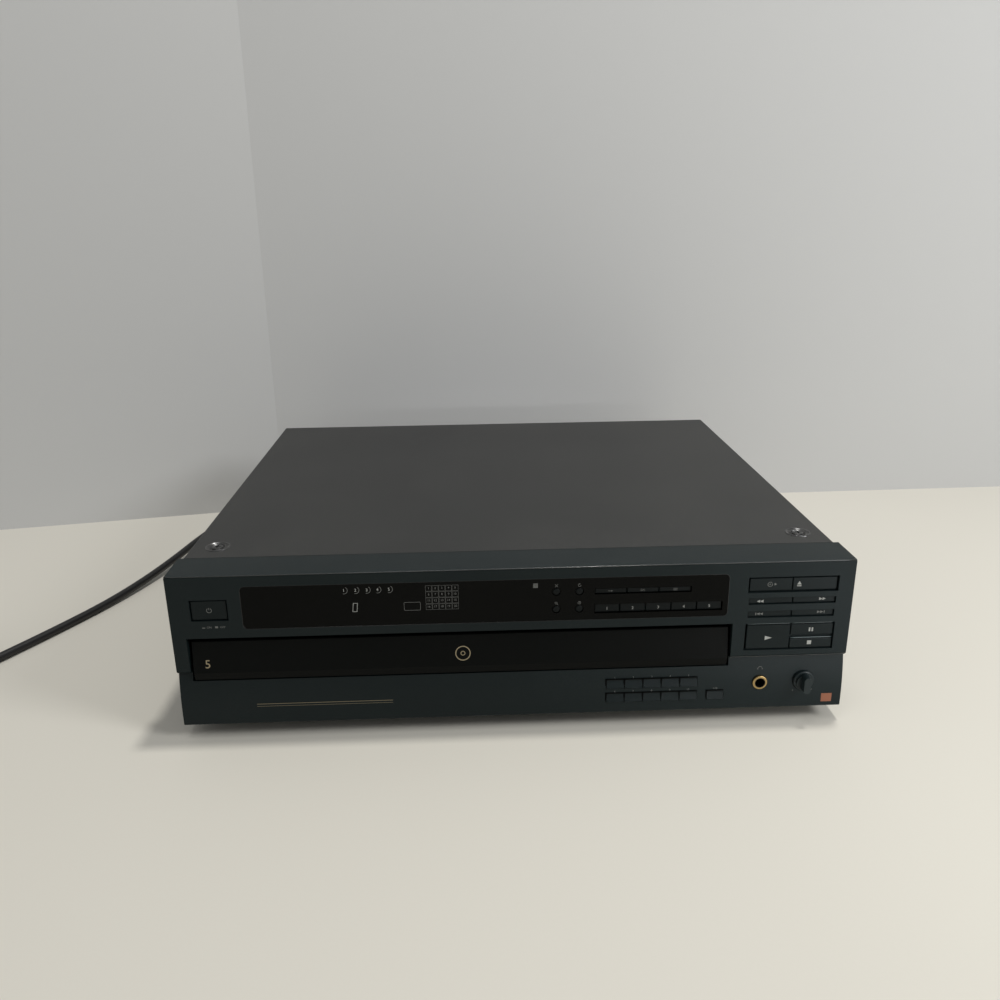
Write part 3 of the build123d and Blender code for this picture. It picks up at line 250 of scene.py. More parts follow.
def edge_tube(left, right, back, up, radius, around=12, along=12):
    """A round tube along X: radius times cosine and sine, in depth and in height, round its middle line."""
    angle = np.linspace(0, math.tau, around, endpoint=False)
    depth = back + radius * np.cos(angle)
    height = up + radius * np.sin(angle)
    points = [[spot(x, z, y) for y, z in zip(depth, height)] for x in np.linspace(left, right, along)]
    return closed_grid(np.array(points))


def cross_head(face, x, y, radius, height, count=96):
    """A pan head with a cross recess: a flat dome less a cross whose walls slope over a short run."""
    share = np.concatenate([np.linspace(0.02, 0.62, 22), np.linspace(0.66, 1.0, 8)])
    angle = np.linspace(0, math.tau, count, endpoint=False)
    flat_x = radius * share[:, None] * np.cos(angle)
    flat_y = radius * share[:, None] * np.sin(angle)
    narrow = np.minimum(abs(flat_x), abs(flat_y))
    wide = np.maximum(abs(flat_x), abs(flat_y))
    blade = np.clip((0.15 * radius - narrow) / (0.07 * radius) + 0.5, 0, 1)
    ends = np.clip((0.56 * radius - wide) / (0.1 * radius) + 0.5, 0, 1)
    dome = height * (1 - 0.35 * share[:, None] ** 4)
    lift = dome - 0.75 * height * blade * ends
    flat = np.stack([np.vstack([flat_x, flat_x[-1:]]) + x, np.vstack([flat_y, flat_y[-1:]]) + y], axis=-1)
    lift = np.vstack([lift, np.full((1, count), -0.3)])
    return closed_grid(on_face(face, flat, lift)[::-1])


def make_piece(name, parts, material, body, smooth=False):
    """Joins parts of points and faces into one mesh with its outsides outwards, and rides it on a body."""
    offsets = np.cumsum([0] + [len(points) for points, faces in parts])
    points = np.vstack([points for points, faces in parts])
    faces = [[index + offset for index in face] for (_, some), offset in zip(parts, offsets) for face in some]
    mesh = bpy.data.meshes.new(name)
    mesh.from_pydata(points.tolist(), [], faces)
    shape = bmesh.new()
    shape.from_mesh(mesh)
    bmesh.ops.remove_doubles(shape, verts=shape.verts, dist=2e-7)
    bmesh.ops.recalc_face_normals(shape, faces=shape.faces)
    shape.to_mesh(mesh)
    shape.free()
    mesh.polygons.foreach_set("use_smooth", [smooth] * len(mesh.polygons))
    mesh.materials.append(material)
    piece = bpy.data.objects.new(name, mesh)
    bpy.context.scene.collection.objects.link(piece)
    if body:
        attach(piece, body)
    return piece


# ---------------------------------------------------------------- shader groups
def new_group(name, inputs, outputs):
    """An empty shader group with named sockets, and its two end nodes."""
    group = bpy.data.node_groups.new(name, "ShaderNodeTree")
    for label, kind, value in inputs:
        socket = group.interface.new_socket(name=label, in_out="INPUT", socket_type=kind)
        if value is not None:
            socket.default_value = value
    for label, kind in outputs:
        group.interface.new_socket(name=label, in_out="OUTPUT", socket_type=kind)
    return group, group.nodes.new("NodeGroupInput"), group.nodes.new("NodeGroupOutput")


def math_node(tree, operation, first, second=None, clamp=False):
    """One Math node: its inputs are sockets or numbers."""
    node = tree.nodes.new("ShaderNodeMath")
    node.operation = operation
    node.use_clamp = clamp
    for socket, value in zip(node.inputs, (first, second)):
        if value is None:
            continue
        if isinstance(value, bpy.types.NodeSocket):
            tree.links.new(value, socket)
        else:
            socket.default_value = value
    return node.outputs[0]


def blend(tree, first, second, share):
    """A share of one value plus the rest of another."""
    part = math_node(tree, "MULTIPLY", first, share)
    rest = math_node(tree, "MULTIPLY", second, 1 - share)
    return math_node(tree, "ADD", part, rest)


def noise(tree, vector_socket, scale, detail=2.0):
    """Noise on a vector; its scale is a socket or a number."""
    node = tree.nodes.new("ShaderNodeTexNoise")
    node.inputs["Detail"].default_value = detail
    tree.links.new(vector_socket, node.inputs["Vector"])
    if isinstance(scale, bpy.types.NodeSocket):
        tree.links.new(scale, node.inputs["Scale"])
    else:
        node.inputs["Scale"].default_value = scale
    return node.outputs[0]


def grain_group():
    """Fine grain over broad clouds: a tone from 0 to 1 and a height."""
    name = "Moulded grain"
    if name in bpy.data.node_groups:
        return bpy.data.node_groups[name]
    group, start, end = new_group(
        name,
        [("Vector", "NodeSocketVector", None), ("Grain", "NodeSocketFloat", 900.0),
         ("Clouds", "NodeSocketFloat", 12.0)],
        [("Tone", "NodeSocketFloat"), ("Height", "NodeSocketFloat")],
    )
    fine = noise(group, start.outputs["Vector"], start.outputs["Grain"], 3.0)
    broad = noise(group, start.outputs["Vector"], start.outputs["Clouds"], 4.0)
    group.links.new(blend(group, fine, broad, 0.45), end.inputs["Tone"])
    group.links.new(fine, end.inputs["Height"])
    return group


def dust_group():
    """Dust and wiped haze: a mask of torn clouds that is strongest where the surface looks up."""
    name = "Settled dust"
    if name in bpy.data.node_groups:
        return bpy.data.node_groups[name]
    group, start, end = new_group(
        name,
        [("Vector", "NodeSocketVector", None), ("Size", "NodeSocketFloat", 9.0),
         ("Amount", "NodeSocketFloat", 0.2)],
        [("Mask", "NodeSocketFloat")],
    )
    broad = noise(group, start.outputs["Vector"], start.outputs["Size"], 5.0)
    fine_scale = math_node(group, "MULTIPLY", start.outputs["Size"], 60.0)
    fine = noise(group, start.outputs["Vector"], fine_scale)
    torn = math_node(group, "MULTIPLY", math_node(group, "SUBTRACT", broad, 0.44), 4.0, clamp=True)
    specks = math_node(group, "MULTIPLY", math_node(group, "SUBTRACT", fine, 0.35), 2.0, clamp=True)
    geometry = group.nodes.new("ShaderNodeNewGeometry")
    split = group.nodes.new("ShaderNodeSeparateXYZ")
    group.links.new(geometry.outputs["Normal"], split.inputs[0])
    upward = math_node(group, "ADD", math_node(group, "MULTIPLY", split.outputs["Z"], 0.75, clamp=True), 0.25)
    mask = math_node(group, "MULTIPLY", math_node(group, "MULTIPLY", torn, specks), upward)
    mask = math_node(group, "MULTIPLY", mask, start.outputs["Amount"], clamp=True)
    group.links.new(mask, end.inputs["Mask"])
    return group


def brushed_group():
    """Long fine scratches along one way: noise on a stretched vector."""
    name = "Brushed lines"
    if name in bpy.data.node_groups:
        return bpy.data.node_groups[name]
    group, start, end = new_group(
        name,
        [("Vector", "NodeSocketVector", None), ("Lines", "NodeSocketFloat", 600.0)],
        [("Tone", "NodeSocketFloat"), ("Height", "NodeSocketFloat")],
    )
    stretch = group.nodes.new("ShaderNodeMapping")
    stretch.inputs["Scale"].default_value = (0.03, 1.0, 1.0)
    group.links.new(start.outputs["Vector"], stretch.inputs["Vector"])
    lines = noise(group, stretch.outputs[0], start.outputs["Lines"], 2.0)
    clouds = noise(group, start.outputs["Vector"], 18.0, 3.0)
    group.links.new(blend(group, lines, clouds, 0.5), end.inputs["Tone"])
    group.links.new(lines, end.inputs["Height"])
    return group


# ---------------------------------------------------------------- materials
DUST_COLOUR = (0.32, 0.31, 0.29)
TONE_LOW, TONE_HIGH = 0.3, 0.7
BUMP_DEPTH = 0.1 * MM


def add_group(tree, group, vector_socket, **values):
    """Places a shader group in a material with its own values."""
    node = tree.nodes.new("ShaderNodeGroup")
    node.node_tree = group
    tree.links.new(vector_socket, node.inputs["Vector"])
    for label, value in values.items():
        node.inputs[label].default_value = value
    return node


def mix_colours(tree, factor, first, second):
    """A colour mix: the factor is a socket, and the colours are sockets or tuples."""
    node = tree.nodes.new("ShaderNodeMix")
    node.data_type = "RGBA"
    tree.links.new(factor, node.inputs[0])
    for index, colour in ((6, first), (7, second)):
        if isinstance(colour, bpy.types.NodeSocket):
            tree.links.new(colour, node.inputs[index])
        else:
            node.inputs[index].default_value = (*colour[:3], 1.0)
    return node.outputs[2]


def shade(colour, share):
    """A colour made darker or lighter by a share of itself."""
    return tuple(min(part * share, 1.0) for part in colour[:3])


def between(tree, vector_socket, axis, low, high):
    """A mask that is 1 where a coordinate lies between two values."""
    split = tree.nodes.new("ShaderNodeSeparateXYZ")
    tree.links.new(vector_socket, split.inputs[0])
    above = math_node(tree, "GREATER_THAN", split.outputs[axis], low)
    below = math_node(tree, "LESS_THAN", split.outputs[axis], high)
    return math_node(tree, "MULTIPLY", above, below)


def finish(name, colour, roughness, *, metallic=0.0, specular=0.5, spread=0.25, rough_spread=0.06,
           grain=900.0, clouds=12.0, bump=0.0, dust=0.0, dust_size=9.0, brushed=0.0, patches=()):
    """A finish: colour and roughness that follow the grain, dust on top, a bump and coloured patches."""
    material = bpy.data.materials.new(name)
    material.use_nodes = True
    tree = material.node_tree
    shader = tree.nodes["Principled BSDF"]
    where = tree.nodes.new("ShaderNodeTexCoord").outputs["Object"]
    if brushed:
        pattern = add_group(tree, brushed_group(), where, Lines=brushed)
    else:
        pattern = add_group(tree, grain_group(), where, Grain=grain, Clouds=clouds)
    tone = pattern.outputs["Tone"]
    base = mix_colours(tree, tone, shade(colour, 1 - spread), shade(colour, 1 + spread))
    for axis, low, high, patch in patches:
        base = mix_colours(tree, between(tree, where, axis, low, high), base, patch)
    rough = tree.nodes.new("ShaderNodeMapRange")
    rough.inputs["From Min"].default_value = TONE_LOW
    rough.inputs["From Max"].default_value = TONE_HIGH
    rough.inputs["To Min"].default_value = max(roughness - rough_spread, 0.02)
    rough.inputs["To Max"].default_value = roughness + rough_spread
    tree.links.new(tone, rough.inputs["Value"])
    rough_out = rough.outputs[0]
    if dust:
        mask = add_group(tree, dust_group(), where, Size=dust_size, Amount=dust).outputs["Mask"]
        base = mix_colours(tree, mask, base, DUST_COLOUR)
        rough_out = math_node(tree, "ADD", rough_out, math_node(tree, "MULTIPLY", mask, 0.8), clamp=True)
    tree.links.new(base, shader.inputs["Base Color"])
    tree.links.new(rough_out, shader.inputs["Roughness"])
    shader.inputs["Metallic"].default_value = metallic
    shader.inputs["Specular IOR Level"].default_value = specular
    if bump:
        raised = tree.nodes.new("ShaderNodeBump")
        raised.inputs["Strength"].default_value = bump
        raised.inputs["Distance"].default_value = BUMP_DEPTH
        tree.links.new(pattern.outputs["Height"], raised.inputs["Height"])
        tree.links.new(raised.outputs[0], shader.inputs["Normal"])
    return material


def dress(material, *names):
    """Gives CAD nodes a finish."""
    for name in names:
        mesh = NODES[name].data
        mesh.materials.clear()
        mesh.materials.append(material)


def jack_finish(gold):
    """The jack's plated ring in front and its dark inside: the ring lies beyond a radius from the axis."""
    low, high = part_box("phones_jack")
    material = finish("Plated jack ring", shade(gold, 0.7), 0.22, metallic=1.0, grain=700.0, spread=0.08,
                      bump=0.05)
    tree = material.node_tree
    shader = tree.nodes["Principled BSDF"]
    where = tree.nodes.new("ShaderNodeTexCoord").outputs["Object"]
    away = tree.nodes.new("ShaderNodeVectorMath")
    away.operation = "SUBTRACT"
    tree.links.new(where, away.inputs[0])
    away.inputs[1].default_value = ((low.x + high.x) / 2, 0, (low.z + high.z) / 2)
    flatten = tree.nodes.new("ShaderNodeVectorMath")
    flatten.operation = "MULTIPLY"
    tree.links.new(away.outputs[0], flatten.inputs[0])
    flatten.inputs[1].default_value = (1, 0, 1)
    radius = tree.nodes.new("ShaderNodeVectorMath")
    radius.operation = "LENGTH"
    tree.links.new(flatten.outputs[0], radius.inputs[0])
    outside = math_node(tree, "GREATER_THAN", radius.outputs["Value"], JACK_RING * MM)
    forward = between(tree, where, "Y", -1.0, PANEL_LOW.y + 2.0 * MM)
    ring = math_node(tree, "MULTIPLY", outside, forward)
    base = shader.inputs["Base Color"].links[0].from_socket
    tree.links.new(mix_colours(tree, ring, (0.006, 0.005, 0.004), base), shader.inputs["Base Color"])
    tree.links.new(ring, shader.inputs["Metallic"])
    return material


# ---------------------------------------------------------------- what a user would change
class ChangerFinish(bpy.types.PropertyGroup):
    """Colours of the cabinet and its prints."""

    panel: bpy.props.FloatVectorProperty(
        name="Panel", description="Colour of the moulded front", subtype="COLOR",
        default=(0.0076, 0.0130, 0.0140))
    cover: bpy.props.FloatVectorProperty(
        name="Cover", description="Colour of the painted cover", subtype="COLOR",
        default=(0.0186, 0.0189, 0.0182))
    window: bpy.props.FloatVectorProperty(
        name="Window", description="Colour of the smoked window", subtype="COLOR",
        default=(0.0017, 0.0019, 0.0017))
    tray: bpy.props.FloatVectorProperty(
        name="Tray", description="Colour of the tray and the carousel", subtype="COLOR",
        default=(0.0040, 0.0046, 0.0043))
    ink: bpy.props.FloatVectorProperty(
        name="Ink", description="Colour of the pale prints", subtype="COLOR", default=(0.42, 0.43, 0.41))
    gold: bpy.props.FloatVectorProperty(
        name="Gold", description="Colour of the jack's ring", subtype="COLOR",
        default=(0.62, 0.44, 0.20))
    tray_ink: bpy.props.FloatVectorProperty(
        name="Tray ink", description="Colour of the tray's prints and the rule", subtype="COLOR",
        default=(0.36, 0.30, 0.19))
    copper: bpy.props.FloatVectorProperty(
        name="Copper", description="Colour of the foil square", subtype="COLOR",
        default=(0.27, 0.105, 0.060))


class ChangerLead(bpy.types.PropertyGroup):
    """Sizes of the mains lead."""

    diameter: bpy.props.FloatProperty(
        name="Diameter", description="Thickness of the mains lead", subtype="DISTANCE", unit="LENGTH",
        default=0.0068)
    length: bpy.props.FloatProperty(
        name="Length", description="Length of the mains lead with its coil", subtype="DISTANCE",
        unit="LENGTH",
        default=1.690)


class ChangerStage(bpy.types.PropertyGroup):
    """The floor, the wall behind and the light."""

    floor: bpy.props.FloatVectorProperty(
        name="Floor", description="Colour of the floor", subtype="COLOR", default=(0.755, 0.725, 0.645))
    wall: bpy.props.FloatVectorProperty(
        name="Wall", description="Colour of the wall behind", subtype="COLOR", default=(0.665, 0.667, 0.662))
    lamp: bpy.props.FloatProperty(
        name="Lamp", description="Power of the lamp overhead", unit="POWER", default=18.8)
    sky: bpy.props.FloatProperty(name="Sky", description="Strength of the light from all round", default=0.31)
    # The card's brightness sets the painted sheen that it glows onto the panel's right side in reflections.
    card: bpy.props.FloatProperty(name="Card", description="Brightness of the card at the right", default=2.0)


# ---------------------------------------------------------------- finishes of the CAD pieces
class CHANGER_OT_cabinet(bpy.types.Operator):
    """Finishes of the front, the cover, the chassis, the back and the feet."""

    bl_idname = "changer.cabinet"
    bl_label = "Cabinet finishes"

    def execute(self, context):
        colours = context.scene.changer_finish
        dress(finish("Satin moulding", colours.panel, 0.42, grain=1800.0, clouds=7.0, bump=0.25,
                     specular=0.16, dust=0.05, dust_size=14.0), "front_panel")
        dress(finish("Textured black paint", colours.cover, 0.47, grain=2600.0, clouds=5.0, bump=0.55,
                     specular=0.35, spread=0.12, dust=0.10, dust_size=7.0), "top_cover")
        dress(finish("Smoked acrylic", colours.window, 0.14, grain=300.0, clouds=4.0, specular=0.08,
                     spread=0.2, rough_spread=0.03), "display_window")
        dress(finish("Zinc sheet", (0.50, 0.50, 0.47), 0.34, metallic=1.0, brushed=900.0, spread=0.14),
              "chassis")
        dress(finish("Black back paint", (0.022, 0.022, 0.022), 0.5, grain=2200.0, bump=0.4, dust=0.08),
              "rear_panel")
        dress(finish("Black foot", (0.020, 0.020, 0.021), 0.42, bump=0.15,
                     patches=(("Z", -0.001, 0.0012, (0.055, 0.05, 0.045)),)), "feet")
        dress(finish("Soft black bush", (0.016, 0.016, 0.017), 0.55, bump=0.3), "cord_bush")
        dress(jack_finish(colours.gold), "phones_jack")
        return {"FINISHED"}


KEY_GRAIN = 1500.0


class CHANGER_OT_keys(bpy.types.Operator):
    """Finishes of every key and of the level knob."""

    bl_idname = "changer.keys"
    bl_label = "Key finishes"

    def execute(self, context):
        panel = context.scene.changer_finish.panel

        def key_finish(label, share, roughness, bump, specular):
            """A fine-grained finish in a share of the panel's colour."""
            return finish(label, shade(panel, share), roughness, grain=KEY_GRAIN, clouds=20.0, bump=bump,
                          specular=specular)

        flat = key_finish("Satin key", 0.8, 0.36, 0.15, 0.15)
        number = key_finish("Number key", 0.9, 0.36, 0.12, 0.16)
        knob = key_finish("Level knob", 1.3, 0.45, 0.12, 0.3)
        dark = key_finish("Dark key", 0.36, 0.36, 0.12, 0.14)
        for name in NODES:
            if name == "level_knob":
                dress(knob, name)
            elif is_window_key(name):
                dress(dark, name)
            elif is_number_key(name):
                dress(number, name)
            elif name.endswith("_key") or name == "power_button":
                dress(flat, name)
        return {"FINISHED"}


COIL_END = 9.5
CHIPS_BOTTOM, CHIPS_TOP = 12.1, 58.0
SOCKET_SEAM = 0.05


class CHANGER_OT_mechanism(bpy.types.Operator):
    """Finishes of the tray, the carousel, the drive, the pickup and what stands inside."""

    bl_idname = "changer.mechanism"
    bl_label = "Mechanism finishes"

    def execute(self, context):
        colours = context.scene.changer_finish
        tray = finish("Tray moulding", colours.tray, 0.44, grain=1600.0, clouds=9.0, bump=0.3, specular=0.3)
        face = finish("Tray front", colours.tray, 0.40, grain=1800.0, clouds=9.0, bump=0.15, specular=0.06)
        dress(tray, "tray", "carousel")
        dress(face, "tray_front")
        dress(finish("Black base", (0.022, 0.022, 0.022), 0.5, bump=0.3, dust=0.06), "loading_base")
        dress(finish("Natural acetal", (0.72, 0.70, 0.63), 0.38, bump=0.1, spread=0.06), "carousel_pinion",
              "loading_pinion")
        dress(finish("Plated sheet", (0.52, 0.52, 0.50), 0.3, metallic=1.0, brushed=800.0, spread=0.12),
              "clamp_bridge", "lift_frame")
        dress(finish("Turntable", (0.03, 0.03, 0.03), 0.4, bump=0.2), "turntable")
        dress(finish("Cast sled", (0.30, 0.30, 0.31), 0.42, metallic=0.8, grain=1200.0, bump=0.4),
              "pickup_sled")
        dress(finish("White clamper", (0.62, 0.61, 0.57), 0.35, bump=0.08, spread=0.05), "clamper")
        low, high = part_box("power_transformer")
        winding = (0.45, 0.33, 0.08)
        coils = (("Y", low.y, low.y + COIL_END * MM, winding), ("Y", high.y - COIL_END * MM, high.y, winding))
        dress(finish("Varnished core", (0.10, 0.085, 0.07), 0.45, metallic=0.4, bump=0.3, patches=coils),
              "power_transformer")
        chips = ("Z", PANEL_LOW.z + CHIPS_BOTTOM * MM, PANEL_LOW.z + CHIPS_TOP * MM, (0.02, 0.022, 0.03))
        dress(finish("Board and parts", (0.075, 0.045, 0.018), 0.35, grain=700.0, clouds=60.0, bump=0.2,
                     spread=0.5, patches=(chips,)), "circuit_boards")
        body = ("Y", -1.0, PANEL_LOW.y + (REAR_FACE - SOCKET_SEAM) * MM, (0.02, 0.02, 0.02))
        dress(finish("Socket block", (0.62, 0.58, 0.48), 0.25, metallic=1.0, bump=0.05, spread=0.08,
                     patches=(body,)), "rear_sockets")
        return {"FINISHED"}


# ---------------------------------------------------------------- new pieces
class CHANGER_OT_window_edge(bpy.types.Operator):
    """The fine rounded edge of the window, which catches the light along its top."""

    bl_idname = "changer.window_edge"
    bl_label = "Window edge"

    def execute(self, context):
        inset, radius, sunk = 0.1, 0.16, 0.12
        path = rounded_path(WINDOW_LEFT + inset, WINDOW_RIGHT - inset, WINDOW_BOTTOM + inset,
                            WINDOW_TOP - inset, WINDOW_CORNER - inset, 10)
        normal = np.roll(path, -1, axis=0) - np.roll(path, 1, axis=0)
        normal = np.stack([normal[:, 1], -normal[:, 0]], axis=1)
        normal /= np.linalg.norm(normal, axis=1, keepdims=True)
        angle = np.linspace(0, math.tau, 10, endpoint=False)
        flat = path[:, None] + normal[:, None] * radius * np.cos(angle)[None, :, None]
        lift = np.broadcast_to(radius * np.sin(angle) - sunk, flat.shape[:2])
        points = on_face(front_face(0.0), flat, lift)
        shine = finish("Polished window edge", (0.008, 0.008, 0.008), 0.18, specular=0.5, grain=400.0)
        make_piece("window_edge", [closed_grid(points, True)], shine, "cabinet", smooth=True)
        return {"FINISHED"}


class CHANGER_OT_panel_edge(bpy.types.Operator):
    """The fine roundings of the panel's top front edge and of the step at the right: tubes let into them."""

    bl_idname = "changer.panel_edge"
    bl_label = "Panel edge"

    def execute(self, context):
        radius, inset, end = 0.36, 0.24, 0.6
        left, right = PANEL_LEFT + end, PANEL_RIGHT - end
        tubes = [edge_tube(left, right, inset, PANEL_HEIGHT - inset, radius, 14, 40),
                 edge_tube(STEP_START, right, STEP_BACK, STEP_HEIGHT + inset, radius, 14, 40)]
        colour = context.scene.changer_finish.panel
        shine = finish("Rounded panel edge", colour, 0.2, specular=0.9, grain=1800.0, rough_spread=0.04)
        make_piece("panel_edge", tubes, shine, "cabinet", smooth=True)
        return {"FINISHED"}


class CHANGER_OT_key_edges(bpy.types.Operator):
    """The rounded top edge of each flat key, coloured five times lighter than the panel as a painted
    highlight, and near-black plates round the number keys: their gaps with painted shadow of the recess.
    """

    bl_idname = "changer.key_edges"
    bl_label = "Key edges"

    def execute(self, context):
        colour = context.scene.changer_finish.panel
        # The key edges' colour is five times the panel's: a painted highlight along each key's top.
        shine = finish("Key edge painted highlight", shade(colour, 5.0), 0.3, specular=0.9, grain=KEY_GRAIN,
                       rough_spread=0.04)
        # Near-black plates at the top and left of each number key: the gap there, and the painted shadow of
        # the recess above it.
        black = finish("Key gap and painted shadow", (0.0015, 0.0018, 0.0018), 0.7, specular=0.05, grain=KEY_GRAIN)
        radius, proud = 0.3, 0.1
        gap, lap, foot = 0.9, 0.1, 0.6
        gap_shadows = []
        for name in NODES:
            if not (name.endswith("_key") or name == "power_button") or name in ROUND_KEYS:
                continue
            low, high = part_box(name)
            left, right = low.x / MM, high.x / MM
            bottom, top = (low.z - PANEL_LOW.z) / MM, (high.z - PANEL_LOW.z) / MM
            if is_number_key(name):
                face = front_face(cove_at((top + bottom) / 2))
                gap_shadows.append(plate(face, box_path(left - gap, right, top - lap, top + gap)))
                gap_shadows.append(plate(face, box_path(left - gap, left + lap, bottom + foot, top + gap)))
            else:
                back = (low.y - PANEL_LOW.y) / MM + radius - proud
                tube = edge_tube(left + radius, right - radius, back, top - radius, radius)
                make_piece(f"{name}_edge", [tube], shine, name, smooth=True)
        make_piece("number_gap_shadows", gap_shadows, black, "cabinet")
        return {"FINISHED"}


# Screws in millimetres. The washer's profile goes by radius and height, from its middle outwards.
COVER_SCREW_ACROSS = 194.8
COVER_SCREW_BACK = 49.4
COVER_SCREW_SUNK = 1.0
WASHER_PROFILE = (
    (0.2, -0.9), (4.3, -0.9), (4.8, -0.2), (5.3, 0.15), (5.7, -0.25), (6.3, -0.45),
    (7.1, -0.1), (7.7, 0.35), (8.2, 0.3), (8.4, 0.0), (8.4, -1.5), (0.2, -1.5),
)
SIDE_SCREW_BACKS = (70.0, 330.0)
SIDE_SCREW_HEIGHT = 14.0
REAR_SCREWS = ((-204.0, 10.0), (0.0, 10.0), (204.0, 10.0), (-204.0, 94.0), (204.0, 94.0))


class CHANGER_OT_screws(bpy.types.Operator):
    """The dished washers and cross-head screws of the cover, the sides and the back."""

    bl_idname = "changer.screws"
    bl_label = "Screws"

    def execute(self, context):
        black = finish("Blackened screw", (0.095, 0.095, 0.095), 0.28, metallic=0.9, grain=1500.0, bump=0.15)
        parts = []
        sunk = level_face(PANEL_HEIGHT - COVER_SCREW_SUNK)
        for x in (-COVER_SCREW_ACROSS, COVER_SCREW_ACROSS):
            zero = spot(x, PANEL_HEIGHT, COVER_SCREW_BACK)
            parts.append(turned(zero, vector(0, 0, 1), vector(1, 0, 0), WASHER_PROFILE[::-1]))
            parts.append(cross_head(sunk, x, COVER_SCREW_BACK, 3.7, 1.5))
        for depth in SIDE_SCREW_BACKS:
            for side in (-1, 1):
                face = (spot(side * COVER_HALF_WIDTH, 0, depth), vector(0, side, 0), vector(0, 0, 1))
                parts.append(cross_head(face, 0, SIDE_SCREW_HEIGHT, 3.6, 1.9))
        for x, z in REAR_SCREWS:
            parts.append(cross_head(rear_plane(REAR_FACE), -x, z, 3.0, 1.8))
        piece = make_piece("cover_screws", parts, black, "cabinet")
        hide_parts("case_screws")
        return {"FINISHED"}


# Prints in millimetres, across and up on the face that holds them. Boxes go left, right, bottom, top.
DISC_SIGNS_ACROSS = (-106.1, -98.9, -91.9, -85.3, -78.2)
DISC_SIGNS_UP = 92.6
TRACK_ZERO = ((-101.3, 78.0), (-98.7, 78.0), (-98.1, 83.7), (-100.7, 83.7))
TRACK_FRAME = (-69.2, -59.1, 77.9, 83.4)
CALENDAR = (-55.75, -35.05, 77.8, 94.6)
CALENDAR_COLUMNS, CALENDAR_ROWS = 5, 4
CELL_HALF = 1.88
SENSOR = (11.5, 14.4, 90.9, 93.9)
SENSOR_FRAME = (12.1, 13.8, 91.5, 93.3)
ROUND_KEY_SIGNS = (("cut", 26.1, 92.0), ("loop", 40.6, 92.0), ("glass", 26.1, 80.0), ("clock", 40.6, 80.0))
SWITCH_UP = 70.0
SWITCH_WORDS = (("ON", -191.0, 4.3, 0.0), ("OFF", -182.6, 4.7, 0.7))
NUMBER_START, NUMBER_STEP = 64.9, 12.07
NUMBER_ROWS = (25.0, 15.4)
OVER_TEN_PLACE = (131.0, 15.6)
LEVEL_ENDS = (("0", 182.6, 12.4), ("10", 194.6, 12.9))
PHONES_SIGN = (160.2, 28.3)
SQUARE = (202.0, 209.0, 3.5, 9.6)
SQUARE_MIDDLE = 6.6
RULE_LEFT, RULE_RIGHT = -167.0, -79.5
RULE_LINES = ((14.2, 0.35), (12.6, 0.2))
TRAY_FIGURE = (-195.3, 6.1)
TRAY_RING = (-33.4, 8.6)


def ink_finish(name, colour, roughness=0.5, metallic=0.0):
    """Screen ink: nearly even, with a fine unevenness."""
    return finish(name, colour, roughness, metallic=metallic, grain=3000.0, spread=0.12, specular=0.3)


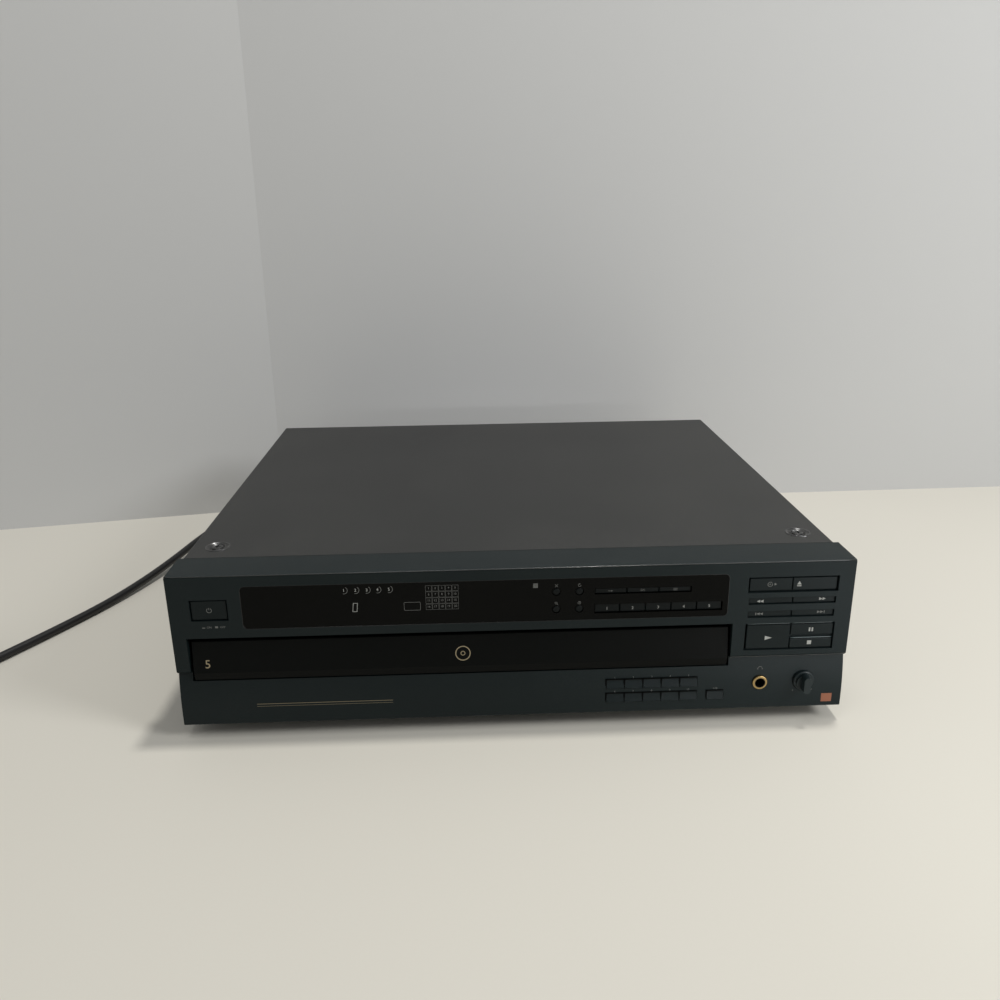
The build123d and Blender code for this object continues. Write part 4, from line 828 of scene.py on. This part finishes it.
class CHANGER_OT_front_prints(bpy.types.Operator):
    """The pale and gold prints on the window, the panel and the tray."""

    bl_idname = "changer.front_prints"
    bl_label = "Front prints"

    def execute(self, context):
        colours = context.scene.changer_finish
        pale = ink_finish("Pale ink", colours.ink)
        dim = ink_finish("Dim ink", shade(colours.ink, 0.36))
        gold = ink_finish("Gold ink", colours.tray_ink, 0.45, 0.1)
        window = front_face(WINDOW_FACE)
        panel = front_face(0.0)
        lit, soft = [], []
        for number, x in enumerate(DISC_SIGNS_ACROSS, start=1):
            lit.append(numeral(window, str(number), x, DISC_SIGNS_UP, 1.9))
            soft.append(stroke(window, arc(x, DISC_SIGNS_UP, 2.3, -105, 60, 16), 0.3))
        lit.append(stroke(window, TRACK_ZERO, 0.3, True))
        soft.append(stroke(window, rounded_path(*TRACK_FRAME, 0.6), 0.22, True))
        left, right, low, high = CALENDAR
        width, height = (right - left) / CALENDAR_COLUMNS, (high - low) / CALENDAR_ROWS
        for row in range(CALENDAR_ROWS):
            for column in range(CALENDAR_COLUMNS):
                x, z = left + width * (column + 0.5), high - height * (row + 0.5)
                cell = box_path(x - CELL_HALF, x + CELL_HALF, z - CELL_HALF, z + CELL_HALF)
                soft.append(stroke(window, cell, 0.13, True))
                soft.append(numeral(window, str(row * CALENDAR_COLUMNS + column + 1), x, z + 0.2, 1.4))
        soft.append(plate(window, box_path(*SENSOR)))
        lit.append(stroke(window, box_path(*SENSOR_FRAME), 0.25, True))
        for kind, x, z in ROUND_KEY_SIGNS:
            soft.extend(small_sign(window, kind, x, z, 0.9))
        panel_parts = []
        for words, x, reach, step in SWITCH_WORDS:
            panel_parts.append(numeral(panel, words, x, SWITCH_UP, 1.35))
            bar = box_path(x - reach, x - reach + 1.8, SWITCH_UP - 0.6, SWITCH_UP + step)
            panel_parts.append(plate(panel, bar))
        figures = [(str(index + 1), NUMBER_START + NUMBER_STEP * (index % 5), NUMBER_ROWS[index // 5], 1.3)
                   for index in range(10)]
        figures.append((">10", *OVER_TEN_PLACE, 1.3))
        figures.extend((words, x, z, 1.2) for words, x, z in LEVEL_ENDS)
        for words, x, z, size in figures:
            panel_parts.append(numeral(front_face(cove_at(z)), words, x, z, size))
        panel_parts.extend(small_sign(front_face(cove_at(PHONES_SIGN[1])), "phones", *PHONES_SIGN, 1.5))
        make_piece("window_figures", lit, pale, "cabinet")
        make_piece("window_frames", soft, dim, "cabinet")
        make_piece("panel_figures", panel_parts, dim, "cabinet")
        square = [plate(front_face(cove_at(SQUARE_MIDDLE)), box_path(*SQUARE))]
        rule = [stroke(front_face(cove_at(z)), ((RULE_LEFT, z), (RULE_RIGHT, z)), width)
                for z, width in RULE_LINES]
        copper = ink_finish("Copper ink", colours.copper, 0.45, 0.1)
        make_piece("gold_square", square, copper, "cabinet")
        rule_ink = ink_finish("Rule ink", shade(colours.tray_ink, 0.6), 0.45)
        make_piece("gold_rule", rule, rule_ink, "cabinet")
        tray = tray_face()
        marks = [numeral(tray, "5", *TRAY_FIGURE, 5.4)]
        marks.append(stroke(tray, arc(*TRAY_RING, 4.6, count=56), 0.6, True))
        marks.append(stroke(tray, arc(*TRAY_RING, 1.3), 0.45, True))
        make_piece("tray_marks", marks, gold, "tray")
        return {"FINISHED"}


def triangle(face, x, z, width, height):
    """A solid arrowhead that points right, or left where the width is negative."""
    outline = [(x - width / 2, z - height / 2), (x + width / 2, z), (x - width / 2, z + height / 2)]
    return plate(face, outline if width > 0 else outline[::-1])


def small_sign(face, kind, x, z, size):
    """A small common sign drawn with strokes, about two sizes across."""
    if kind == "cut":
        return [stroke(face, ((x - size, z - size), (x + size, z + size)), 0.25),
                stroke(face, ((x - size, z + size), (x + size, z - size)), 0.25)]
    if kind == "loop":
        return [stroke(face, arc(x, z, size, 60, 360, 18), 0.25),
                triangle(face, x + 0.2, z + size, 0.9 * size, size)]
    if kind == "glass":
        return [stroke(face, arc(x - 0.2, z + 0.2, 0.75 * size, count=20), 0.22, True),
                stroke(face, ((x + 0.4 * size, z - 0.4 * size), (x + 1.1 * size, z - 1.1 * size)), 0.3)]
    if kind == "clock":
        return [stroke(face, arc(x, z, size, count=22), 0.22, True),
                stroke(face, ((x, z + 0.6 * size), (x, z), (x + 0.5 * size, z)), 0.2)]
    if kind == "phones":
        return [stroke(face, arc(x, z, size, -20, 200, 20), 0.3),
                plate(face, box_path(x - 1.25 * size, x - 0.75 * size, z - size, z + 0.1)),
                plate(face, box_path(x + 0.75 * size, x + 1.25 * size, z - size, z + 0.1))]
    if kind == "power":
        return [stroke(face, arc(x, z, size, 120, 420, 26), 0.32),
                stroke(face, ((x, z + 0.2 * size), (x, z + 1.2 * size)), 0.32)]
    if kind == "mix":
        return [stroke(face, ((x - 1.6 * size, z - 0.6 * size), (x - 0.5 * size, z - 0.6 * size),
                              (x + 0.5 * size, z + 0.6 * size), (x + 1.4 * size, z + 0.6 * size)), 0.22),
                stroke(face, ((x - 1.6 * size, z + 0.6 * size), (x - 0.5 * size, z + 0.6 * size)), 0.22),
                stroke(face, ((x + 0.5 * size, z - 0.6 * size), (x + 1.4 * size, z - 0.6 * size)), 0.22)]
    if kind == "list":
        return [stroke(face, ((x - 1.4 * size, z + step * size), (x + 1.4 * size, z + step * size)), 0.2)
                for step in (-0.7, 0.0, 0.7)]
    if kind == "on":
        return [stroke(face, ((x - 1.6 * size, z), (x + 0.8 * size, z)), 0.22),
                triangle(face, x + 1.2 * size, z, 0.9 * size, size)]
    raise ValueError(f"no sign named {kind}")


class CHANGER_OT_key_marks(bpy.types.Operator):
    """Figures and common signs on the keys, each on the body of its own key."""

    bl_idname = "changer.key_marks"
    bl_label = "Key marks"

    def execute(self, context):
        ink = context.scene.changer_finish.ink
        pale = ink_finish("Key ink", shade(ink, 0.9))
        dim = ink_finish("Dim key ink", shade(ink, 0.4))
        deep, skip, row, disc, mode = (front_face(depth) for depth in (0.8, 0.9, 1.2, 1.5, 1.3))
        marks = {
            "play_key": (pale, [triangle(deep, 163.3, 51.2, 4.6, 2.9)]),
            "pause_key": (pale, [plate(deep, box_path(x - 0.5, x + 0.5, 55.1, 57.8))
                                 for x in (189.7, 191.5)]),
            "stop_key": (pale, [plate(deep, box_path(188.9, 191.6, 45.8, 48.5))]),
            "search_back_key": (pale, [triangle(row, x, 77.1, -2.1, 2.0) for x in (154.9, 157.1)]),
            "search_forward_key": (pale, [triangle(row, x, 77.8, 2.1, 2.0) for x in (194.9, 197.1)]),
            "previous_key": (dim, [triangle(row, x, 68.3, -2.0, 1.9) for x in (155.4, 157.5)]
                             + [plate(row, box_path(153.6, 154.1, 67.4, 69.2))]),
            "next_key": (dim, [triangle(row, x, 68.6, 2.0, 1.9) for x in (194.4, 196.5)]
                         + [plate(row, box_path(197.8, 198.3, 67.7, 69.5))]),
            "open_close_key": (pale, [plate(skip, ((178.6, 88.2), (181.4, 88.2), (180.0, 90.6))),
                                      plate(skip, box_path(178.6, 181.4, 87.0, 87.6))]),
            "disc_skip_key": (dim, [stroke(skip, arc(161.4, 88.8, 1.5, 40, 380, 26), 0.3),
                                    stroke(skip, arc(161.4, 88.8, 0.4, count=14), 0.25, True),
                                    triangle(skip, 164.9, 88.8, 1.6, 1.7)]),
            "power_button": (dim, small_sign(deep, "power", -190.05, 81.2, 1.5)),
            "continue_key": (dim, small_sign(mode, "on", 60.2, 87.1, 0.9)),
            "shuffle_key": (dim, small_sign(mode, "mix", 80.7, 87.1, 0.9)),
            "program_key": (dim, small_sign(mode, "list", 101.3, 87.1, 0.9)),
        }
        for number in range(1, 6):
            x = 58.35 + 16.3 * (number - 1)
            marks[f"disc_{number}_key"] = (pale, [numeral(disc, str(number), x, 74.9, 1.9)])
        for name, (material, parts) in marks.items():
            make_piece(f"{name}_mark", parts, material, name)
        return {"FINISHED"}


CAROUSEL_ACROSS, CAROUSEL_BACK = -33.45, 180.0
RECESS_REACH = 105.5
FIGURE_REACH = 34.0


class CHANGER_OT_carousel_figures(bpy.types.Operator):
    """The figures 1 to 5 on the carousel, one at each recess."""

    bl_idname = "changer.carousel_figures"
    bl_label = "Carousel figures"

    def execute(self, context):
        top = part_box("carousel")[1].z
        ink = ink_finish("Carousel ink", shade(context.scene.changer_finish.ink, 0.8))
        parts = []
        centre = vector(CAROUSEL_ACROSS * MM, PANEL_LOW.y + CAROUSEL_BACK * MM, top)
        for index in range(5):
            angle = math.tau * index / 5
            out = vector(math.cos(angle), math.sin(angle), 0)
            right = vector(math.sin(angle), -math.cos(angle), 0)
            face = (centre, right, out)
            parts.append(numeral(face, str(index + 1), 0, FIGURE_REACH, 6.0))
            parts.append(stroke(face, arc(0, RECESS_REACH, 65.0, -112, -68, 30), 0.4))
        make_piece("carousel_figures", parts, ink, "carousel")
        return {"FINISHED"}


SOCKETS_ACROSS, SOCKETS_UP = 172.0, 76.0
SOCKET_APART = 7.0
SOCKET_SECTION = ((4.25, 0.0), (6.3, 0.0), (6.3, 0.8), (5.9, 1.2), (4.25, 1.2))
SOCKET_COLOURS = (("white", -SOCKET_APART, (0.62, 0.61, 0.58)), ("red", SOCKET_APART, (0.36, 0.02, 0.02)))


class CHANGER_OT_socket_rings(bpy.types.Operator):
    """The coloured insulators round the four phono sockets."""

    bl_idname = "changer.socket_rings"
    bl_label = "Socket insulators"

    def execute(self, context):
        section = np.array(SOCKET_SECTION)
        angle = np.linspace(0, math.tau, 40, endpoint=False)
        ring = np.cos(angle)[:, None] * vector(1, 0, 0) + np.sin(angle)[:, None] * vector(0, 0, 1)
        radial = section[None, :, 0, None] * ring[:, None]
        outwards = section[None, :, 1, None] * vector(0, 1, 0)
        for name, side, colour in SOCKET_COLOURS:
            rings = []
            for height in (-SOCKET_APART, SOCKET_APART):
                zero = spot(SOCKETS_ACROSS + side, SOCKETS_UP + height, REAR_FACE)
                rings.append(closed_grid(zero + MM * (radial + outwards), True))
            ink = finish(f"Socket {name}", colour, 0.35, spread=0.08, bump=0.05)
            make_piece(f"socket_rings_{name}", rings, ink, "cabinet")
        return {"FINISHED"}


# ---------------------------------------------------------------- mains lead
LEAD_RADIUS = 3.4
LEAD_GAP = 0.6
LEAD_ROUTE = (
    (-180.0, 385.1, 27.0),
    (-180.0, 409.1, 27.0),
    (-189.0, 434.0, 20.0),
    (-213.0, 449.0, 11.4),
    (-243.0, 446.0, 6.2),
    (-269.0, 424.0, 3.2),
    (-288.0, 386.0, 1.4),
    (-301.0, 340.0, 0.2),
    (-312.0, 294.0, -2.2),
    (-325.5, 250.0, -4.6),
    (-343.0, 206.0, -6.6),
    (-364.0, 163.0, -7.0),
    (-386.0, 121.0, -7.0),
    (-409.6, 79.6, -7.0),
)
COIL_MEAN_RADIUS = 36.0
COIL_TURNS = 5
COIL_TAIL = 42.0
COIL_POINTS = 12


def lead_points():
    """The route's points and those of the coil, in metres, and the plug's start and heading."""
    route = np.array([spot(x, z, y) for x, y, z in LEAD_ROUTE])
    route[:, 2] = np.maximum(route[:, 2], LEAD_RADIUS * MM)
    heading = route[-1] - route[-2]
    start_angle = math.atan2(heading[1], heading[0]) + math.pi / 2
    pitch = 2 * LEAD_RADIUS + LEAD_GAP
    outer = COIL_MEAN_RADIUS + pitch * COIL_TURNS / 4
    centre = route[-1] - outer * MM * vector(math.cos(start_angle), math.sin(start_angle), 0)

    def coil(angle, swell=1.0):
        """Turned clockwise: the radius falls a pitch a turn to half way, then grows a layer higher."""
        whole = COIL_TURNS * math.tau
        wound = np.minimum(angle, whole - angle)
        radius = (outer - pitch * wound / math.tau) * swell
        share = np.clip((angle - (whole - math.pi) / 2) / math.pi, 0, 1)
        height = pitch * (1 - np.cos(math.pi * share)) / 2
        around = start_angle - angle
        return centre + MM * np.stack([radius * np.cos(around), radius * np.sin(around), height], axis=-1)

    swell = 1 / (0.75 + 0.25 * math.cos(math.tau / COIL_POINTS))
    steps = np.arange(1, COIL_TURNS * COIL_POINTS) * math.tau / COIL_POINTS
    whole = COIL_TURNS * math.tau
    end = coil(np.array(whole))
    away = end - coil(np.array(whole - 0.001))
    away /= np.linalg.norm(away)
    plug = end + away * COIL_TAIL * MM
    return np.vstack([route, coil(steps, swell), end, plug]), plug, away


def plug_parts(start, away):
    """The moulded plug: rounded sections carried along its axis, with ribs near the lead, and two blades."""
    across = np.cross(away, vector(0, 0, 1))
    across /= np.linalg.norm(across)
    up = np.cross(across, away)
    stations = np.array([0, 0.6, 1.6, 2.2, 3.2, 3.8, 4.8, 5.4, 6.4, 8.0, 10.0, 12.0, 15.0, 19.0, 24.0, 28.6,
                         29.7, 30.0])
    half_width = np.array([4.3, 4.5, 4.5, 4.0, 4.9, 4.4, 5.4, 4.9, 6.2, 8.3, 10.4, 11.6, 11.9, 11.3, 11.6,
                           11.9, 11.4, 10.6])
    half_height = np.array([4.3, 4.5, 4.5, 4.0, 4.8, 4.3, 5.2, 4.8, 5.9, 7.5, 9.0, 9.9, 10.3, 9.6, 10.0, 10.3,
                            9.8, 9.0])
    angle = np.linspace(0, math.tau, 56, endpoint=False)
    power = 2 / 3.2
    ring_x = np.sign(np.cos(angle)) * abs(np.cos(angle)) ** power
    ring_y = np.sign(np.sin(angle)) * abs(np.sin(angle)) ** power
    blend = np.clip(stations / 10.0, 0, 1)[:, None]
    ring_x = (1 - blend) * np.cos(angle) + blend * ring_x
    ring_y = (1 - blend) * np.sin(angle) + blend * ring_y
    points = (start + MM * (half_width[:, None, None] * ring_x[..., None] * across
                            + half_height[:, None, None] * ring_y[..., None] * up
                            + stations[:, None, None] * away))
    body = [closed_grid(points)]
    blades = []
    for side in (-6.35, 6.35):
        face = (start + MM * (side * across + 29.5 * away), up, away)
        outline = [(-3.15, 0), (3.15, 0), (3.15, 15.9), (2.3, 17.9), (-2.3, 17.9), (-3.15, 15.9)]
        blades.append(plate(face, outline, -0.75, 0.75))
    return body, blades


class CHANGER_OT_mains_lead(bpy.types.Operator):
    """The mains lead, its put-away coil and its plug."""

    bl_idname = "changer.mains_lead"
    bl_label = "Mains lead"

    def execute(self, context):
        sizes = context.scene.changer_lead
        points, plug_start, away = lead_points()
        sheath = finish("Soft black sheath", (0.012, 0.012, 0.0125), 0.42, grain=1500.0, bump=0.2,
                        specular=0.4)
        curve = bpy.data.curves.new("mains_lead", "CURVE")
        curve.dimensions = "3D"
        curve.bevel_depth = sizes.diameter / 2
        curve.bevel_resolution = 5
        curve.use_fill_caps = True
        curve.resolution_u = 8
        curve.render_resolution_u = 8
        spline = curve.splines.new("NURBS")
        spline.points.add(len(points) - 1)
        spline.points.foreach_set("co", np.hstack([points, np.ones((len(points), 1))]).ravel())
        spline.order_u = 3
        spline.use_endpoint_u = True
        curve.materials.append(sheath)
        lead = bpy.data.objects.new("mains_lead", curve)
        context.scene.collection.objects.link(lead)
        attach(lead, "cabinet")
        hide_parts("mains_cord", "cord_coil")
        body, blades = plug_parts(plug_start, away)
        plug = make_piece("plug_body", body, sheath, "cabinet", smooth=True)
        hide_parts("mains_plug")
        metal = finish("Nickel blade", (0.62, 0.60, 0.54), 0.24, metallic=1.0, bump=0.05, spread=0.06)
        pins = make_piece("plug_blades", blades, metal, "cabinet")
        return {"FINISHED"}


# ---------------------------------------------------------------- stage
FOCAL_PIXELS = 882.45
PHOTO_SIDE = 1000.0
CAMERA_PLACE = (-25.49, 319.54, -502.49)
CAMERA_PITCH = 0.32622
CAMERA_YAW = 0.033775
CAMERA_ROLL = 0.012631
WALL_CORNER = (-0.240, 0.2760)
WALL_LEFT = (-3.0, -0.222)
WALL_RIGHT = (3.0, 0.334)
WALL_HEIGHT = 3.0
FLOOR_REACH = 6.0
SENSOR_WIDTH = 36.0
# Name, place, aim, size, share of the lamp's power, colour and fan in degrees.
LAMPS = (
    ("overhead", (0.35, -0.02, 2.3), (0, 0, 0), 0.22, 1.0, (1.0, 0.985, 0.95), 180),
    ("edge_light", (-0.235, -0.60, 2.2), (0, -0.19, 0.1), 0.42, 0.16, (1, 1, 1), 180),
    ("right_side", (1.1, -0.75, 0.9), (0.1, 0, 0.05), 0.5, 0.47, (0.98, 0.99, 1.0), 180),
    ("cove_light", (0.62, -1.2, 0.10), (0.20, -0.19, 0.0), 0.2, 0.0017, (1, 1, 1), 14),
)
# A card that glows only in reflections, to paint a sheen on the panel's right side.
CARD_ACROSS, CARD_NEAR, CARD_FAR, CARD_HEIGHT = 0.27, -0.20, -0.75, 0.35


def wall_material(colour):
    """A wall that only the camera and reflections see, and only from the front, so that light passes it."""
    material = bpy.data.materials.new("Pale wall")
    material.use_nodes = True
    tree = material.node_tree
    tree.nodes.clear()
    output = tree.nodes.new("ShaderNodeOutputMaterial")
    path = tree.nodes.new("ShaderNodeLightPath")
    geometry = tree.nodes.new("ShaderNodeNewGeometry")
    seen = math_node(tree, "ADD", path.outputs["Is Camera Ray"], path.outputs["Is Glossy Ray"], clamp=True)
    fore = math_node(tree, "SUBTRACT", 1.0, geometry.outputs["Backfacing"])
    factor = math_node(tree, "MULTIPLY", seen, fore)
    clear = tree.nodes.new("ShaderNodeBsdfTransparent")
    plain = tree.nodes.new("ShaderNodeBsdfDiffuse")
    plain.inputs["Color"].default_value = (*colour, 1.0)
    mix = tree.nodes.new("ShaderNodeMixShader")
    tree.links.new(factor, mix.inputs[0])
    tree.links.new(clear.outputs[0], mix.inputs[1])
    tree.links.new(plain.outputs[0], mix.inputs[2])
    tree.links.new(mix.outputs[0], output.inputs["Surface"])
    return material


def card_material(strength):
    """A card at the right that glows only for reflections: a painted sheen on the panel's right side, though
    it is no lamp.
    """
    material = bpy.data.materials.new("Painted sheen card")
    material.use_nodes = True
    tree = material.node_tree
    tree.nodes.clear()
    output = tree.nodes.new("ShaderNodeOutputMaterial")
    path = tree.nodes.new("ShaderNodeLightPath")
    clear = tree.nodes.new("ShaderNodeBsdfTransparent")
    glow = tree.nodes.new("ShaderNodeEmission")
    glow.inputs["Strength"].default_value = strength
    mix = tree.nodes.new("ShaderNodeMixShader")
    tree.links.new(path.outputs["Is Glossy Ray"], mix.inputs[0])
    tree.links.new(clear.outputs[0], mix.inputs[1])
    tree.links.new(glow.outputs[0], mix.inputs[2])
    tree.links.new(mix.outputs[0], output.inputs["Surface"])
    return material


def stage_plane(name, corners, material):
    """One flat face of the stage."""
    mesh = bpy.data.meshes.new(name)
    mesh.from_pydata([tuple(corner) for corner in corners], [], [list(range(len(corners)))])
    mesh.materials.append(material)
    plane = bpy.data.objects.new(name, mesh)
    bpy.context.scene.collection.objects.link(plane)
    return plane


def area_lamp(name, place, aim, size, power, colour, fan):
    """A soft round lamp that looks at a point and fans out over an angle in degrees."""
    data = bpy.data.lights.new(name, "AREA")
    data.shape = "DISK"
    data.size = size
    data.energy = power
    data.color = colour
    data.spread = math.radians(fan)
    lamp = bpy.data.objects.new(name, data)
    lamp.location = place
    lamp.rotation_mode = "QUATERNION"
    lamp.rotation_quaternion = (Vector(aim) - Vector(place)).to_track_quat("-Z", "Y")
    bpy.context.scene.collection.objects.link(lamp)


class CHANGER_OT_stage(bpy.types.Operator):
    """The floor, the wall, the lamps, the sky and the camera."""

    bl_idname = "changer.stage"
    bl_label = "Stage"

    def execute(self, context):
        stage = context.scene.changer_stage
        floor = finish("Pale table", stage.floor, 0.8, grain=500.0, clouds=3.0, spread=0.02, specular=0.02)
        reach = FLOOR_REACH
        stage_plane("floor", [(-reach, -reach, 0), (reach, -reach, 0), (reach, reach, 0), (-reach, reach, 0)],
                    floor)
        wall = wall_material(stage.wall)
        for name, first, second in (("wall_left", WALL_LEFT, WALL_CORNER),
                                    ("wall_back", WALL_CORNER, WALL_RIGHT)):
            corners = [(*first, 0), (*second, 0), (*second, WALL_HEIGHT), (*first, WALL_HEIGHT)]
            stage_plane(name, corners, wall)
        for name, place, aim, size, share, colour, fan in LAMPS:
            area_lamp(name, place, aim, size, stage.lamp * share, colour, fan)
        # The card paints a sheen on the panel: it glows only for reflections.
        card = [(CARD_ACROSS, CARD_NEAR, 0), (CARD_ACROSS, CARD_FAR, 0),
                (CARD_ACROSS, CARD_FAR, CARD_HEIGHT), (CARD_ACROSS, CARD_NEAR, CARD_HEIGHT)]
        stage_plane("card", card, card_material(stage.card))
        world = bpy.data.worlds.new("Room light")
        world.use_nodes = True
        background = world.node_tree.nodes["Background"]
        background.inputs["Color"].default_value = (0.97, 0.985, 1.0, 1.0)
        background.inputs["Strength"].default_value = stage.sky
        context.scene.world = world
        context.scene.view_settings.view_transform = "Standard"
        camera = bpy.data.objects.new("camera", bpy.data.cameras.new("camera"))
        context.scene.collection.objects.link(camera)
        cosine, sine = math.cos, math.sin
        ahead = vector(sine(CAMERA_YAW) * cosine(CAMERA_PITCH), cosine(CAMERA_YAW) * cosine(CAMERA_PITCH),
                       -sine(CAMERA_PITCH))
        level = vector(cosine(CAMERA_YAW), -sine(CAMERA_YAW), 0)
        down = np.cross(ahead, level)
        right = level * cosine(CAMERA_ROLL) + down * sine(CAMERA_ROLL)
        down = down * cosine(CAMERA_ROLL) - level * sine(CAMERA_ROLL)
        place = spot(*CAMERA_PLACE)
        camera.matrix_world = Matrix((
            (right[0], -down[0], -ahead[0], place[0]),
            (right[1], -down[1], -ahead[1], place[1]),
            (right[2], -down[2], -ahead[2], place[2]),
            (0, 0, 0, 1),
        ))
        camera.data.sensor_width = SENSOR_WIDTH
        camera.data.lens = FOCAL_PIXELS / PHOTO_SIDE * SENSOR_WIDTH
        camera.data.clip_start = 0.01
        context.scene.camera = camera
        return {"FINISHED"}


class CHANGER_PT_panel(bpy.types.Panel):
    """The changer's pieces in the sidebar."""

    bl_label = "Disc changer"
    bl_idname = "CHANGER_PT_panel"
    bl_space_type = "VIEW_3D"
    bl_region_type = "UI"
    bl_category = "Changer"

    def draw(self, context):
        for operator in OPERATORS:
            self.layout.operator(operator.bl_idname)


OPERATORS = (
    CHANGER_OT_stage,
    CHANGER_OT_mains_lead,
    CHANGER_OT_cabinet,
    CHANGER_OT_keys,
    CHANGER_OT_mechanism,
    CHANGER_OT_window_edge,
    CHANGER_OT_panel_edge,
    CHANGER_OT_key_edges,
    CHANGER_OT_screws,
    CHANGER_OT_front_prints,
    CHANGER_OT_key_marks,
    CHANGER_OT_carousel_figures,
    CHANGER_OT_socket_rings,
)
SETTINGS = (
    ("changer_finish", ChangerFinish),
    ("changer_lead", ChangerLead),
    ("changer_stage", ChangerStage),
)


def register():
    """Registers the settings, the operators and the panel."""
    for name, settings in SETTINGS:
        bpy.utils.register_class(settings)
        setattr(bpy.types.Scene, name, bpy.props.PointerProperty(type=settings))
    for operator in OPERATORS:
        bpy.utils.register_class(operator)
    bpy.utils.register_class(CHANGER_PT_panel)


def unregister():
    """Takes back what register did."""
    bpy.utils.unregister_class(CHANGER_PT_panel)
    for operator in reversed(OPERATORS):
        bpy.utils.unregister_class(operator)
    for name, settings in reversed(SETTINGS):
        delattr(bpy.types.Scene, name)
        bpy.utils.unregister_class(settings)


def main():
    register()
    bpy.ops.changer.stage()
    bpy.ops.changer.mains_lead()
    bpy.ops.changer.cabinet()
    bpy.ops.changer.keys()
    bpy.ops.changer.mechanism()
    bpy.ops.changer.window_edge()
    bpy.ops.changer.panel_edge()
    bpy.ops.changer.key_edges()
    bpy.ops.changer.screws()
    bpy.ops.changer.front_prints()
    bpy.ops.changer.key_marks()
    bpy.ops.changer.carousel_figures()
    bpy.ops.changer.socket_rings()


if __name__ == "__main__":
    main()
